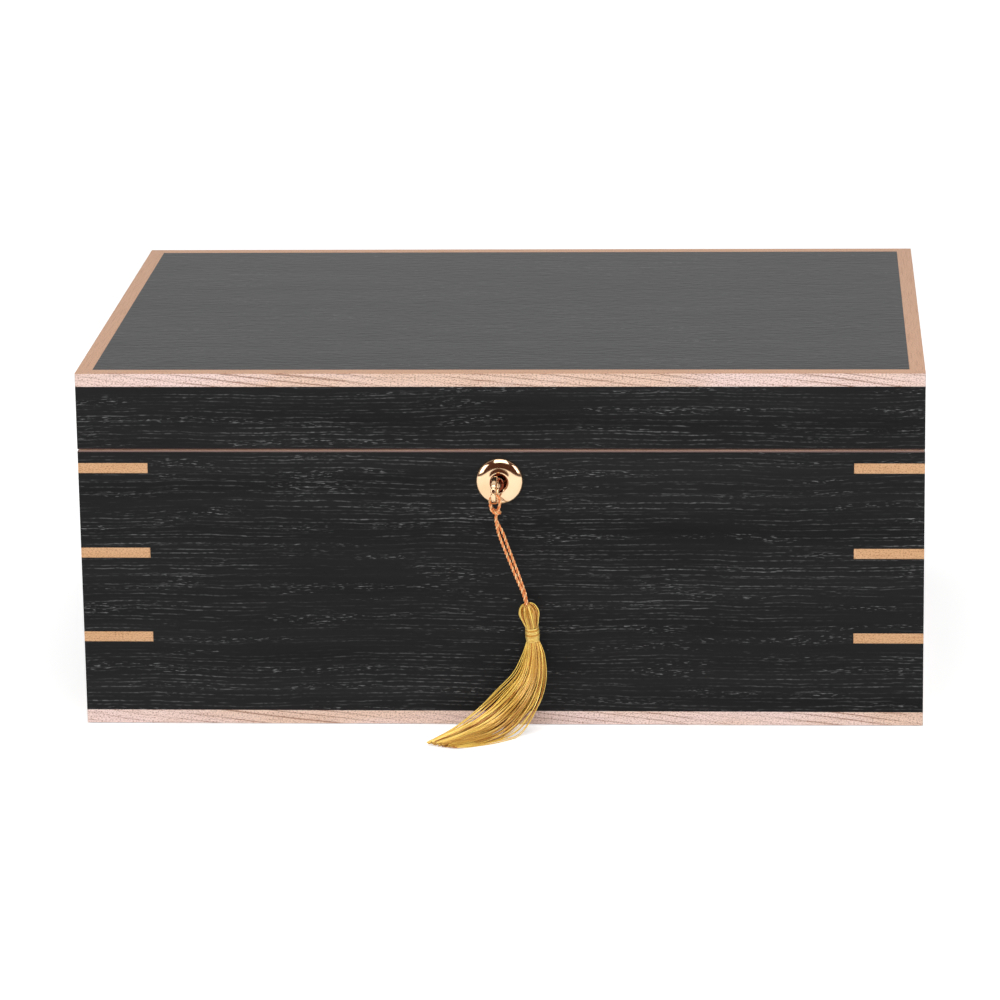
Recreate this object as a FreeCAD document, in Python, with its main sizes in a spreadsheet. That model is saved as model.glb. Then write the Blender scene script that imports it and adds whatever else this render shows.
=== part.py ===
"""A lidded humidor chest with a box lock, its key and tassel, stop hinges, cedar linings and a lift-out tray.

Millimetres. The origin is the middle of the underside, X runs along the length, the front faces -Y, Z is up.
"""

import FreeCAD, Part
import Sketcher
import math
import os
import re

V = FreeCAD.Vector
document = FreeCAD.newDocument("Humidor")

# Driving dimensions

SIZES = [
    # case
    ("case_length", 350),
    ("case_depth", 248),
    ("case_height", 151),
    ("lid_height", 32.6),
    ("wall", 16),
    ("seam_gap", 0.2),
    # maple trim
    ("edge_width", 6.5),
    ("edge_height", 5.7),
    ("banding", 0.7),
    ("edge_break", 0.5),
    ("spline_thickness", 4.3),
    ("spline_backing", 3),
    ("spline_pitch", 36.35),
    ("spline_drop", 7.7),
    # floor and felt
    ("foot_lift", 0.3),
    ("felt_thickness", 1.2),
    ("felt_inset", 1),
    ("floor_thickness", 6),
    ("floor_housing", 4),
    ("floor_lining", 3),
    # cedar
    ("lining", 5),
    ("lip_height", 6),
    ("lip_clearance", 0.3),
    ("top_lining", 3),
    # tray and dividers
    ("tray_height", 34),
    ("tray_drop", 4),
    ("tray_board", 6),
    ("tray_clearance", 0.6),
    ("tray_seat", 0.2),
    ("slat_thickness", 3),
    ("slat_width", 26),
    ("notch_radius", 22),
    ("notch_depth", 10),
    ("rest_width", 6),
    ("rest_height", 9),
    ("divider_board", 5),
    ("divider_clearance", 0.5),
    ("tray_divider_drop", 2),
    ("bottom_divider_height", 55),
    # lock
    ("key_drop", 13.1),
    ("lock_thickness", 8.5),
    ("lock_plate", 1.2),
    ("room_below_drum", 2.1),
    ("selvedge_thickness", 1.8),
    ("selvedge_ear", 7),
    ("link_thickness", 1.6),
    ("running_gap", 0.3),
    ("bearing_clearance", 0.05),
    ("journal_wall", 0.3),
    ("drum_shoulder", 0.6),
    ("tail_radius", 2),
    ("tooth_width", 1.8),
    ("tooth_length", 3),
    ("tooth_engagement", 2.4),
    ("tooth_play", 1.4),
    ("bolt_clearance", 0.4),
    ("bolt_height", 3.6),
    ("bolt_bar", 14.5),
    ("bolt_tail", 8),
    ("bolt_end_room", 2.8),
    ("notch_clearance", 0.2),
    ("tongue_beyond", 4),
    ("tongue_margin", 0.4),
    ("tongue_width", 2.6),
    ("staple_thickness", 2),
    ("staple_width", 5.2),
    ("staple_clearance", 0.5),
    ("staple_foot", 1.8),
    ("eye_clearance", 0.4),
    ("spring_thickness", 0.4),
    ("spring_half", 8),
    ("spring_margin", 0.1),
    # escutcheon
    ("escutcheon_radius", 9.75),
    ("rim_round", 1.65),
    ("rim_stand", 0.8),
    ("mouth_play", 0.9),
    ("mouth_thickness", 0.8),
    ("sleeve_depth", 3),
    ("sleeve_wall", 0.6),
    ("sleeve_clearance", 0.1),
    # key
    ("shank_radius", 1.9),
    ("shank_clearance", 0.5),
    ("key_tilt", 2.2),
    ("key_tail_gap", 0.2),
    ("bit_reach", 4.1),
    ("bit_thickness", 1.4),
    ("bit_length", 4),
    ("bit_clearance", 0.2),
    ("bit_side_play", 0.6),
    ("bow_stand", 7.5),
    ("bow_long", 15),
    ("bow_tall", 11.4),
    ("bow_limb", 2.2),
    ("bow_round", 0.95),
    ("collar_radius", 2.9),
    ("collar_length", 1.5),
    ("collar_gap", 1),
    # hinges
    ("hinge_spread", 110),
    ("hinge_length", 38),
    ("leaf_thickness", 1.6),
    ("leaf_reach", 10),
    ("knuckle_radius", 2.4),
    ("knuckle_stand", 0.4),
    ("knuckle_gap", 0.3),
    ("middle_knuckle", 14.4),
    ("pin_radius", 1.2),
    ("pin_head", 0.8),
    ("stop_height", 0.9),
    ("stop_reach", 3),
    # screws
    ("screw_head", 2.2),
    ("screw_shank", 1.1),
    ("screw_head_height", 1.3),
    ("screw_length", 9),
    ("screw_slot", 0.6),
    ("hinge_screw_spread", 13),
    # hygrometer under the lid
    ("magnet_radius", 8),
    ("magnet_thickness", 1.5),
    ("magnet_spread", 45),
    ("gauge_inset", 64.3),
    ("gauge_radius", 24),
    ("gauge_depth", 10),
    ("gauge_wall", 2.4),
    ("gauge_back", 2),
    ("dial_thickness", 0.6),
    ("disc_clearance", 0.05),
    ("lens_thickness", 1.2),
    ("lens_recess", 0.8),
    ("needle_margin", 5.4),
    ("needle_tail", 5),
    ("needle_width", 1.2),
    ("needle_thickness", 0.4),
    ("needle_lift", 0.5),
    ("hub_radius", 1.8),
    ("arbor_radius", 0.6),
    ("arbor_head", 1),
    ("arbor_play", 0.1),
    # humidifier under the lid
    ("humidifier_offset", 45),
    ("humidifier_length", 150),
    ("humidifier_width", 56),
    ("humidifier_depth", 15),
    ("humidifier_wall", 2),
    ("humidifier_corner", 8),
    ("grille_thickness", 2),
    ("grille_slot_width", 4),
    ("grille_slot_length", 36),
    ("grille_slot_pitch", 8),
    ("sponge_clearance", 0.5),
]

# Places and fits worked out from the driving dimensions

PLACES = [
    ("front_face", "-case_depth / 2"),
    ("back_face", "case_depth / 2"),
    ("seam_level", "case_height - lid_height"),
    ("base_rim", "seam_level - seam_gap / 2"),
    ("lid_rim", "seam_level + seam_gap / 2"),
    ("board_top", "base_rim - banding"),
    ("lid_board_bottom", "lid_rim + banding"),
    ("lid_board_top", "case_height - edge_height"),
    ("floor_top", "felt_thickness + floor_thickness"),
    ("cavity_bottom", "floor_top + floor_lining"),
    ("lip_top", "base_rim + lip_height"),
    ("inside_length", "case_length / 2 - wall"),
    ("inside_depth", "case_depth / 2 - wall"),
    ("clear_length", "inside_length - lining"),
    ("clear_depth", "inside_depth - lining"),
    ("housed_length", "inside_length + floor_housing"),
    ("housed_depth", "inside_depth + floor_housing"),
    ("lid_wall", "wall - lip_clearance"),
    ("lid_inside_length", "case_length / 2 - lid_wall"),
    ("lid_inside_depth", "case_depth / 2 - lid_wall"),
    ("lid_ceiling", "lid_board_top - top_lining"),
    ("spline_leg", "2 * wall - spline_backing"),
    ("top_spline", "seam_level - spline_drop"),
    # tray
    ("tray_top", "base_rim - tray_drop"),
    ("tray_bottom", "tray_top - tray_height"),
    ("tray_floor", "tray_bottom + slat_thickness"),
    ("tray_length", "clear_length - tray_clearance"),
    ("tray_depth", "clear_depth - tray_clearance"),
    ("tray_inside_length", "tray_length - tray_board"),
    ("tray_inside_depth", "tray_depth - tray_board"),
    ("rest_top", "tray_bottom - tray_seat"),
    # lock, from the front face inwards and from the key's level upwards
    ("key_level", "seam_level - key_drop"),
    ("lock_back", "front_face + wall"),
    ("lock_front", "lock_back - lock_thickness"),
    ("lock_middle", "(lock_front + lock_back) / 2"),
    ("lock_roof", "base_rim - selvedge_thickness"),
    ("drum_front", "lock_front + lock_plate + running_gap"),
    ("drum_back", "lock_back - lock_plate - running_gap"),
    ("drum_bore", "shank_radius + shank_clearance"),
    ("keyway_reach", "bit_reach + bit_clearance"),
    ("keyway_half", "bit_thickness / 2 + bit_side_play"),
    ("bore_end", "drum_back - lock_plate"),
    ("journal_radius", "keyway_reach + journal_wall"),
    ("drum_radius", "journal_radius + drum_shoulder"),
    ("lock_floor", "key_level - drum_radius - room_below_drum - lock_plate"),
    ("bolt_rise", "drum_radius + bolt_clearance"),
    ("tooth_reach", "bolt_rise + tooth_engagement"),
    ("bolt_bottom", "key_level + bolt_rise"),
    ("bolt_top", "bolt_bottom + bolt_height"),
    ("bolt_throw", "sqrt(2) * (tooth_reach - tooth_width / 2)"),
    ("bolt_notch", "-bolt_throw / 2"),
    ("bolt_low_end", "bolt_notch - bolt_tail"),
    ("bolt_shoulder", "bolt_low_end + bolt_bar"),
    ("bolt_high_end", "bolt_shoulder + staple_clearance + staple_thickness + tongue_beyond"),
    ("staple_place", "bolt_shoulder + bolt_throw + staple_clearance + staple_thickness / 2"),
    ("half_lock", "bolt_high_end + bolt_throw + bolt_end_room + lock_plate"),
    ("half_selvedge", "half_lock + selvedge_ear"),
    ("ear_place", "half_lock + selvedge_ear / 2"),
    ("spring_place", "(bolt_low_end + bolt_throw + bolt_shoulder) / 2"),
    ("spring_rise", "lock_roof - bolt_top - spring_thickness - 2 * spring_margin"),
    ("spring_radius", "spring_half^2 / (2 * spring_rise)"),
    # escutcheon and key
    ("mouth_radius", "shank_radius + mouth_play"),
    ("rim_crest", "escutcheon_radius - rim_round"),
    ("rim_front", "front_face - rim_stand - rim_round"),
    ("sleeve_outside", "keyway_reach + sleeve_wall"),
    ("bow_place", "front_face - bow_stand - bow_long / 2 - lock_middle"),
    ("bow_near", "bow_place + bow_long / 2"),
    ("key_tail", "bore_end - key_tail_gap - lock_middle"),
    # hinges
    ("hinge_axis", "back_face + knuckle_stand + knuckle_radius"),
    ("leaf_front", "back_face - leaf_reach"),
    ("leaf_end", "hinge_axis - knuckle_radius - knuckle_gap"),
    ("leaf_middle", "(leaf_front + leaf_end) / 2"),
    ("outer_knuckle", "(hinge_length - middle_knuckle) / 2 - knuckle_gap"),
    ("stop_top", "seam_level - knuckle_radius - knuckle_gap"),
    # hygrometer and humidifier
    ("gauge_place", "gauge_inset - lid_inside_length"),
    ("gauge_ceiling", "lid_ceiling - magnet_thickness"),
    ("gauge_mouth", "gauge_ceiling - gauge_depth"),
    ("gauge_bore", "gauge_radius - gauge_wall"),
    ("ledge_bore", "gauge_bore - gauge_wall / 2"),
    ("dial_face", "gauge_ceiling - gauge_back - dial_thickness"),
    ("lens_back", "gauge_mouth + lens_recess + lens_thickness"),
    ("needle_top", "dial_face - needle_lift"),
    ("needle_level", "needle_top - needle_thickness"),
    ("humidifier_mouth", "gauge_ceiling - humidifier_depth"),
]


def fill_sheet(name, rows):
    """A sheet of the document with one row for each name, and the name as the alias of its cell."""
    page = document.addObject("Spreadsheet::Sheet", name)
    for row, (word, content) in enumerate(rows, 1):
        page.set(f"A{row}", word)
        page.set(f"B{row}", str(content))
        page.setAlias(f"B{row}", word)
    return page


CELLS = {word: f"Sizes.{word}" for word, _ in SIZES}
CELLS.update({word: f"Places.{word}" for word, _ in PLACES})
WORDS = re.compile(r"\b(?:" + "|".join(CELLS) + r")\b")


def formula(text):
    """The text with each named size or place turned into a reference to its cell."""
    return WORDS.sub(lambda found: CELLS[found.group(0)], str(text))


sizes = fill_sheet("Sizes", SIZES)
document.recompute()
places = fill_sheet("Places", [(word, "=" + formula(text)) for word, text in PLACES])
document.recompute()

# Ways to make a shape whose sizes follow the sheets

FINISHED = []
DIRECTIONS = {
    "X": FreeCAD.Rotation(V(0, 1, 0), 90),
    "Y": FreeCAD.Rotation(V(1, 0, 0), -90),
    "Z": FreeCAD.Rotation(),
    "-Z": FreeCAD.Rotation(V(1, 0, 0), 180),
}


def about(middle, reach):
    """A span of equal reach to both sides of its middle."""
    return (f"{middle} - ({reach})", f"{middle} + ({reach})")


def outward(side, inner, outer):
    """The span between two distances from the middle of the case, on the named side of it."""
    if side in ("left", "front"):
        return (f"-({outer})", f"-({inner})")
    return (inner, outer)


def bind(thing, place=None, **values):
    """Tie an object's sizes, and its place, to formulas."""
    for word, text in values.items():
        thing.setExpression(word, formula(text))
    for axis, text in zip("xyz", place or ()):
        thing.setExpression(f"Placement.Base.{axis}", formula(text))
    return thing


def box(name, x, y, z):
    """A block that fills three spans."""
    length, width, height = (f"({high}) - ({low})" for low, high in (x, y, z))
    block = document.addObject("Part::Box", name)
    return bind(block, (x[0], y[0], z[0]), Length=length, Width=width, Height=height)


def rod(name, start, radius, length, direction="Z"):
    """A cylinder from its start along a direction."""
    cylinder = document.addObject("Part::Cylinder", name)
    cylinder.Placement.Rotation = DIRECTIONS[direction]
    return bind(cylinder, start, Radius=radius, Height=length)


def taper(name, start, radius, end_radius, length, direction="Z"):
    """A cone from its start along a direction."""
    cone = document.addObject("Part::Cone", name)
    cone.Placement.Rotation = DIRECTIONS[direction]
    return bind(cone, start, Radius1=radius, Radius2=end_radius, Height=length)


def ring(name, centre, radius, round_radius, direction):
    """A round ring about a direction."""
    torus = document.addObject("Part::Torus", name)
    torus.Placement.Rotation = DIRECTIONS[direction]
    return bind(torus, centre, Radius1=radius, Radius2=round_radius)


def wedge(name, place, angle, wide, narrow, thickness, low, high):
    """A flat bar, turned about Z, that narrows from one X span to another over its thickness."""
    bar = document.addObject("Part::Wedge", name)
    bar.Placement.Rotation = FreeCAD.Rotation(V(0, 0, 1), angle)
    bind(bar, place, Xmin=wide[0], Xmax=wide[1], X2min=narrow[0], X2max=narrow[1])
    return bind(bar, Ymin=0, Ymax=thickness, Zmin=low, Zmax=high, Z2min=low, Z2max=high)


def group(name, things):
    """Several separate solids as one object."""
    compound = document.addObject("Part::Compound", name)
    compound.Links = list(things)
    return compound


def fused(name, *things):
    """The things as one solid."""
    union = document.addObject("Part::MultiFuse", name)
    union.Shapes = list(things)
    return union


def cut(name, base, *tools):
    """The base without the tools."""
    result = document.addObject("Part::Cut", name)
    result.Base = base
    result.Tool = tools[0] if len(tools) == 1 else fused(f"{name}_cutters", *tools)
    return result


def finish(thing):
    """Mark an object as a finished piece. Its label names its file."""
    thing.Label = thing.Name
    FINISHED.append(thing)
    return thing


# Boards and strips along the four sides, mitred at the corners

SIDES = {
    "front": (("0", "front_face", "0"), 0, "case_length"),
    "back": (("0", "back_face", "0"), 180, "case_length"),
    "left": (("-case_length / 2", "0", "0"), -90, "case_depth"),
    "right": (("case_length / 2", "0", "0"), 90, "case_depth"),
}


def mitred(name, side, thickness, low, high):
    """A board along one side, from the outer face inwards, cut at 45 degrees at both ends."""
    place, angle, length = SIDES[side]
    outer = about(0, f"{length} / 2")
    inner = about(0, f"{length} / 2 - {thickness}")
    return wedge(name, place, angle, outer, inner, thickness, low, high)


def edge_cutter(name, side, level):
    """A three-cornered bar that breaks the outer edge of a rim at a level."""
    place, angle, length = SIDES[side]
    low, high = about(level, "edge_break")
    bar = wedge(name, place, angle, about(0, length), about(0, length), "edge_break", low, high)
    return bind(bar, Z2min=level, Z2max=level)


def panel(name, length, depth, low, high):
    """A level board centred on the case, given by its reach to each side."""
    return box(name, about(0, length), about(0, depth), (low, high))


# Maple strips round the foot of the base and the top of the lid, the long pair and the short pair


def edge_strips(name, low, high):
    """Four mitred strips, the two long ones as one sub-part and the two short ones as another."""
    strips = {side: mitred(f"{name}_{side}", side, "edge_width", low, high) for side in SIDES}
    finish(group(f"{name}_long_strips", [strips["front"], strips["back"]]))
    finish(group(f"{name}_short_strips", [strips["left"], strips["right"]]))
    return strips


plinth = edge_strips("plinth", "foot_lift", "foot_lift + edge_height")
edge_strips("lid_edge", "lid_board_top", "case_height")

# Maple splines, three across each corner of the base

SPLINE_ROWS = 3
CORNERS = {
    "front_left": ("-case_length / 2", "front_face", 0),
    "front_right": ("case_length / 2", "front_face", 90),
    "back_right": ("case_length / 2", "back_face", 180),
    "back_left": ("-case_length / 2", "back_face", -90),
}


def spline(corner, row):
    """A flat three-cornered key in a saw cut across the mitre."""
    x, y, angle = CORNERS[corner]
    level = f"top_spline - {row} * spline_pitch - spline_thickness / 2"
    wide = ("0", "spline_leg")
    name = f"spline_{corner}_{row}"
    return wedge(name, (x, y, level), angle, wide, ("0", "0"), "spline_leg", "0", "spline_thickness")


splines = {corner: [spline(corner, row) for row in range(SPLINE_ROWS)] for corner in CORNERS}
finish(group("corner_splines", [key for keys in splines.values() for key in keys]))

# Floor panel in its rebate, the felt under it and the cedar on it

finish(panel("base_floor", "housed_length", "housed_depth", "felt_thickness", "floor_top"))
finish(panel("felt_pad", "housed_length - felt_inset", "housed_depth - felt_inset", "0", "felt_thickness"))
finish(panel("lining_floor", "inside_length", "inside_depth", "floor_top", "cavity_bottom"))
floor_rebate = panel("floor_rebate", "housed_length", "housed_depth", "0", "floor_top")

# Countersunk slotted screws, two to each plate


def screw(name, x, y, level, direction):
    """The blank that makes a screw's hole, and the screw itself."""
    start = (x, y, level)
    head = taper(f"{name}_head", start, "screw_head", "screw_shank", "screw_head_height", direction)
    shank = rod(f"{name}_shank", start, "screw_shank", "screw_length", direction)
    blank = fused(f"{name}_blank", head, shank)
    slot = box(
        f"{name}_slot",
        about(x, "screw_head"),
        about(y, "screw_slot / 2"),
        about(level, "screw_slot / 2"),
    )
    return blank, cut(name, blank, slot)


def screw_pair(name, middle, reach, y, level, direction):
    """Two screws, one to each side of a middle: their blanks, then the screws."""
    pair = [
        screw(f"{name}_{end}", f"{middle} {sign} {reach}", y, level, direction)
        for end, sign in (("left", "-"), ("right", "+"))
    ]
    blanks, screws = zip(*pair)
    return list(blanks), list(screws)


# Hinges: leaves let into the back rims, knuckles behind the case, and a heel that stops the lid upright


def leaf_plate(name, x, low, high):
    """The flat of a leaf in a rim."""
    return box(name, about(x, "hinge_length / 2"), ("leaf_front", "leaf_end"), (low, high))


def base_leaf(name, x):
    """The base's leaf: its two knuckles, and the bar behind them on which the lid's heel comes to rest."""
    pieces = [leaf_plate(f"{name}_plate", x, "base_rim - leaf_thickness", "base_rim")]
    stop_depth = ("hinge_axis - stop_height", "hinge_axis + stop_reach / 2")
    for end, start in (("near", "-hinge_length / 2"), ("far", "middle_knuckle / 2 + knuckle_gap")):
        first = f"{x} + {start}"
        along = (first, f"{first} + outer_knuckle")
        axis = (first, "hinge_axis", "seam_level")
        web = ("base_rim - leaf_thickness", "base_rim")
        foot = ("stop_top - stop_height", "seam_level - knuckle_radius / 2")
        pieces.append(rod(f"{name}_{end}_knuckle", axis, "knuckle_radius", "outer_knuckle", "X"))
        pieces.append(box(f"{name}_{end}_web", along, ("leaf_end", "hinge_axis"), web))
        pieces.append(box(f"{name}_{end}_foot", along, stop_depth, foot))
    bar = ("stop_top - stop_height", "stop_top")
    pieces.append(box(f"{name}_bar", about(x, "hinge_length / 2"), stop_depth, bar))
    return fused(f"{name}_blank", *pieces)


def lid_leaf(name, x):
    """The lid's leaf: the middle knuckle with the heel on it."""
    along = about(x, "middle_knuckle / 2")
    knuckle_start = (along[0], "hinge_axis", "seam_level")
    rim = ("lid_rim", "lid_rim + leaf_thickness")
    heel_depth = ("hinge_axis - stop_height", "hinge_axis + stop_reach")
    heel_height = about("seam_level + knuckle_radius", "stop_height / 2")
    return fused(
        f"{name}_blank",
        leaf_plate(f"{name}_plate", x, *rim),
        rod(f"{name}_knuckle", knuckle_start, "knuckle_radius", "middle_knuckle", "X"),
        box(f"{name}_web", along, ("leaf_end", "hinge_axis"), rim),
        box(f"{name}_heel", along, heel_depth, heel_height),
    )


def hinge_pin(name, x):
    """The pin, with a flat head at each end."""
    low, high = about(x, "hinge_length / 2")
    cap = "knuckle_radius - knuckle_gap"
    first = (f"{low} - pin_head", "hinge_axis", "seam_level")
    return fused(
        name,
        rod(f"{name}_shaft", first, "pin_radius", "hinge_length + 2 * pin_head", "X"),
        rod(f"{name}_near_head", first, cap, "pin_head", "X"),
        rod(f"{name}_far_head", (high, "hinge_axis", "seam_level"), cap, "pin_head", "X"),
    )


HALVES = (("base", base_leaf, "base_rim", "-Z"), ("lid", lid_leaf, "lid_rim", "Z"))
hinges = {"base": [], "lid": []}
hinge_screws = {"base": [], "lid": []}
hinge_blanks = {"base": [], "lid": []}
mortises = {"base": [], "lid": []}
pins = []
for side, x in (("left", "-hinge_spread"), ("right", "hinge_spread")):
    bore_start = (f"{x} - hinge_length", "hinge_axis", "seam_level")
    bore_radius = "pin_radius + bearing_clearance"
    bore = rod(f"pin_bore_{side}", bore_start, bore_radius, "2 * hinge_length", "X")
    pins.append(hinge_pin(f"pin_{side}", x))
    for half, leaf, rim, direction in HALVES:
        screw_name = f"{half}_hinge_screw_{side}"
        blanks, screws = screw_pair(screw_name, x, "hinge_screw_spread", "leaf_middle", rim, direction)
        hinges[half].append(cut(f"{half}_leaf_{side}", leaf(f"{half}_leaf_{side}", x), bore, *blanks))
        hinge_screws[half] += screws
        hinge_blanks[half] += blanks
    mortises["base"].append(leaf_plate(f"base_mortise_{side}", x, "base_rim - leaf_thickness", "base_rim"))
    mortises["lid"].append(leaf_plate(f"lid_mortise_{side}", x, "lid_rim", "lid_rim + leaf_thickness"))
for half in ("base", "lid"):
    finish(group(f"hinge_{half}_leaves", hinges[half]))
    finish(group(f"hinge_{half}_screws", hinge_screws[half]))
finish(group("hinge_pins", pins))

# Lock case in the front board, closed above by the selvedge in the rim

lock_depth = ("lock_front", "lock_back")
inner_depth = ("lock_front + lock_plate", "lock_back - lock_plate")
inner_height = ("lock_floor + lock_plate", "base_rim")
lock_mortise = box("lock_mortise", about(0, "half_lock"), lock_depth, ("lock_floor", "lock_roof"))
lock_room = box("lock_room", about(0, "half_lock - lock_plate"), inner_depth, inner_height)
journal_start = ("0", "lock_front - lock_plate", "key_level")
journal_bore = "journal_radius + bearing_clearance"
journal_hole = rod("journal_hole", journal_start, journal_bore, "2.5 * lock_plate", "Y")
tail_start = ("0", "lock_back - 2 * lock_plate", "key_level")
tail_hole = rod("tail_hole", tail_start, "tail_radius + bearing_clearance", "3 * lock_plate", "Y")
finish(cut("lock_case", lock_mortise, lock_room, journal_hole, tail_hole))

selvedge_blank = box("selvedge_blank", about(0, "half_selvedge"), lock_depth, ("lock_roof", "base_rim"))
staple_slot = box(
    "staple_slot",
    about("staple_place", "staple_thickness / 2 + eye_clearance"),
    about("lock_middle", "staple_width / 2 + eye_clearance"),
    ("lock_roof - running_gap", "base_rim + running_gap"),
)
lock_blanks, lock_screws = screw_pair("lock_screw", "0", "ear_place", "lock_middle", "base_rim", "-Z")
finish(cut("lock_selvedge", selvedge_blank, staple_slot, *lock_blanks))
finish(group("lock_screws", lock_screws))

# Lock drum: journals in the case, the key's bore with its keyway, and the tooth that drives the bolt

barrel_start = ("0", "drum_front", "key_level")
drum_barrel = rod("drum_barrel", barrel_start, "drum_radius", "drum_back - drum_front", "Y")
front_start = ("0", "lock_front", "key_level")
drum_journal = rod("drum_journal", front_start, "journal_radius", "drum_back - lock_front", "Y")
tail_length = "lock_back - bore_end - running_gap"
drum_tail = rod("drum_tail", ("0", "bore_end", "key_level"), "tail_radius", tail_length, "Y")
tooth_block = box(
    "tooth_block",
    about(0, "tooth_width / 2"),
    about("lock_middle", "tooth_length / 2"),
    ("drum_radius - tooth_width", "tooth_reach"),
)
tooth = group("drum_tooth", [tooth_block])
tooth.Placement.Rotation = FreeCAD.Rotation(V(0, -1, 0), 45)
bind(tooth, ("0", "0", "key_level"))
key_bore = rod("key_bore", journal_start, "drum_bore", "bore_end - lock_front + lock_plate", "Y")
keyway = box(
    "keyway",
    about(0, "keyway_half"),
    ("lock_front - lock_plate", "bore_end"),
    ("key_level - keyway_reach", "key_level"),
)
drum_blank = fused("drum_blank", drum_barrel, drum_journal, drum_tail, tooth)
finish(cut("lock_drum", drum_blank, key_bore, keyway))

# Lock bolt: a bar notched for the tooth, with a tongue that enters the staple's eye

drum_depth = ("drum_front", "drum_back")
bolt_height = ("bolt_bottom", "bolt_top")
tongue_height = ("bolt_bottom + tongue_margin", "bolt_top - tongue_margin")
bolt_bar = box("bolt_bar_block", ("bolt_low_end", "bolt_shoulder"), drum_depth, bolt_height)
bolt_tongue = box(
    "bolt_tongue_block",
    ("bolt_shoulder - bolt_height", "bolt_high_end"),
    about("lock_middle", "tongue_width / 2"),
    tongue_height,
)
bolt_cutout = box(
    "bolt_cutout",
    about("bolt_notch", "tooth_width / 2 + tooth_play / 2"),
    drum_depth,
    ("key_level", "key_level + tooth_reach + notch_clearance"),
)
finish(cut("lock_bolt", fused("bolt_blank", bolt_bar, bolt_tongue), bolt_cutout))

# Bowed leaf spring between the selvedge and the bolt

hoop_start = ("spring_place", "drum_front", "bolt_top + spring_margin + spring_thickness + spring_radius")
hoop_width = "drum_back - drum_front"
hoop_outside = rod("hoop_outside", hoop_start, "spring_radius + spring_thickness", hoop_width, "Y")
hoop_inside = rod("hoop_inside", hoop_start, "spring_radius", hoop_width, "Y")
spring = document.addObject("Part::Common", "lock_spring")
spring.Base = cut("spring_hoop", hoop_outside, hoop_inside)
spring_width = about("spring_place", "spring_half")
spring.Tool = box("spring_window", spring_width, lock_depth, ("bolt_top", "lock_roof"))
finish(spring)

# Link plate in the lid's rim, with the staple that reaches down into the lock

link_blank = box(
    "link_blank",
    about(0, "half_selvedge"),
    ("lock_front", "-lid_inside_depth"),
    ("lid_rim", "lid_rim + link_thickness"),
)
staple_block = box(
    "staple_block",
    about("staple_place", "staple_thickness / 2"),
    about("lock_middle", "staple_width / 2"),
    ("bolt_bottom - staple_foot", "lid_rim + link_thickness / 2"),
)
staple_eye = box(
    "staple_eye",
    about("staple_place", "staple_thickness"),
    about("lock_middle", "tongue_width / 2 + eye_clearance"),
    (f"{tongue_height[0]} - eye_clearance", f"{tongue_height[1]} + eye_clearance"),
)
link_blanks, link_screws = screw_pair("link_screw", "0", "ear_place", "lock_middle", "lid_rim", "Z")
finish(cut("link_plate", fused("link_whole", link_blank, staple_block), staple_eye, *link_blanks))
finish(group("link_screws", link_screws))

# Escutcheon: a rounded rim, a dished face with the keyhole, and a sleeve in the board

rim_start = ("0", "rim_front", "key_level")
behind_start = ("0", "front_face", "key_level")
sleeve_start = ("0", "front_face - mouth_thickness / 2", "key_level")
rim_round = ring("rim_round", ("0", "front_face - rim_stand", "key_level"), "rim_crest", "rim_round", "Y")
disc = rod("escutcheon_disc", rim_start, "rim_crest", "front_face - rim_front", "Y")
dish_depth = "front_face - rim_front - mouth_thickness"
dish = taper("escutcheon_dish", rim_start, "rim_crest", "mouth_radius", dish_depth, "Y")
behind = rod("escutcheon_behind", behind_start, "2 * escutcheon_radius", "wall", "Y")
face = cut("escutcheon_face", fused("escutcheon_disc_and_rim", rim_round, disc), dish, behind)
sleeve_length = "sleeve_depth + mouth_thickness / 2"
sleeve_tube = rod("sleeve_tube", sleeve_start, "sleeve_outside", sleeve_length, "Y")
sleeve_room = rod("sleeve_room", behind_start, "keyway_reach", "2 * sleeve_depth", "Y")
sleeve = cut("escutcheon_sleeve", sleeve_tube, sleeve_room)
keyhole_round = rod("keyhole_round", rim_start, "mouth_radius", "front_face - rim_front", "Y")
keyhole_slot = box(
    "keyhole_slot",
    about(0, "keyway_half + bit_clearance"),
    ("rim_front", "front_face"),
    ("key_level - keyway_reach", "key_level"),
)
finish(cut("escutcheon", fused("escutcheon_blank", face, sleeve), keyhole_round, keyhole_slot))

# Key: shank, bit, collar and oval bow, made along its own shank and then leaned in the lock


def oval(name, major, minor, thickness):
    """An upright oval plate at the bow's place."""
    outline = document.addObject("Part::Ellipse", f"{name}_outline")
    bind(outline, MajorRadius=major, MinorRadius=minor)
    plate = document.addObject("Part::Extrusion", name)
    plate.Base = outline
    plate.DirMode = "Normal"
    plate.Solid = True
    plate.Symmetric = True
    plate.Placement.Rotation = FreeCAD.Rotation(V(1, 1, 1), 120)
    return bind(plate, ("0", "bow_place", "0"), LengthFwd=thickness)


bow_outside = oval("bow_outside", "bow_long / 2", "bow_tall / 2", "bow_limb")
bow_inside = oval("bow_inside", "bow_long / 2 - bow_limb", "bow_tall / 2 - bow_limb", "2 * bow_limb")
bow_plate = cut("bow_plate", bow_outside, bow_inside)
document.recompute()
bow_rounding = min(sizes.get("bow_round"), 0.45 * sizes.get("bow_limb"))
bow = document.addObject("Part::Fillet", "bow")
bow.Base = bow_plate
bow.Edges = [
    (number, bow_rounding, bow_rounding)
    for number, edge in enumerate(bow_plate.Shape.Edges, 1)
    if edge.isClosed()
]
shank_start = "bow_near - bow_limb / 2"
shank = rod("key_shank", ("0", shank_start, "0"), "shank_radius", f"key_tail - ({shank_start})", "Y")
collar = rod("key_collar", ("0", "bow_near + collar_gap", "0"), "collar_radius", "collar_length", "Y")
bit_span = ("key_tail - bit_length", "key_tail")
bit = box("key_bit", about(0, "bit_thickness / 2"), bit_span, ("-bit_reach", "0"))
key = fused("key", shank, collar, bit, bow)
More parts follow.
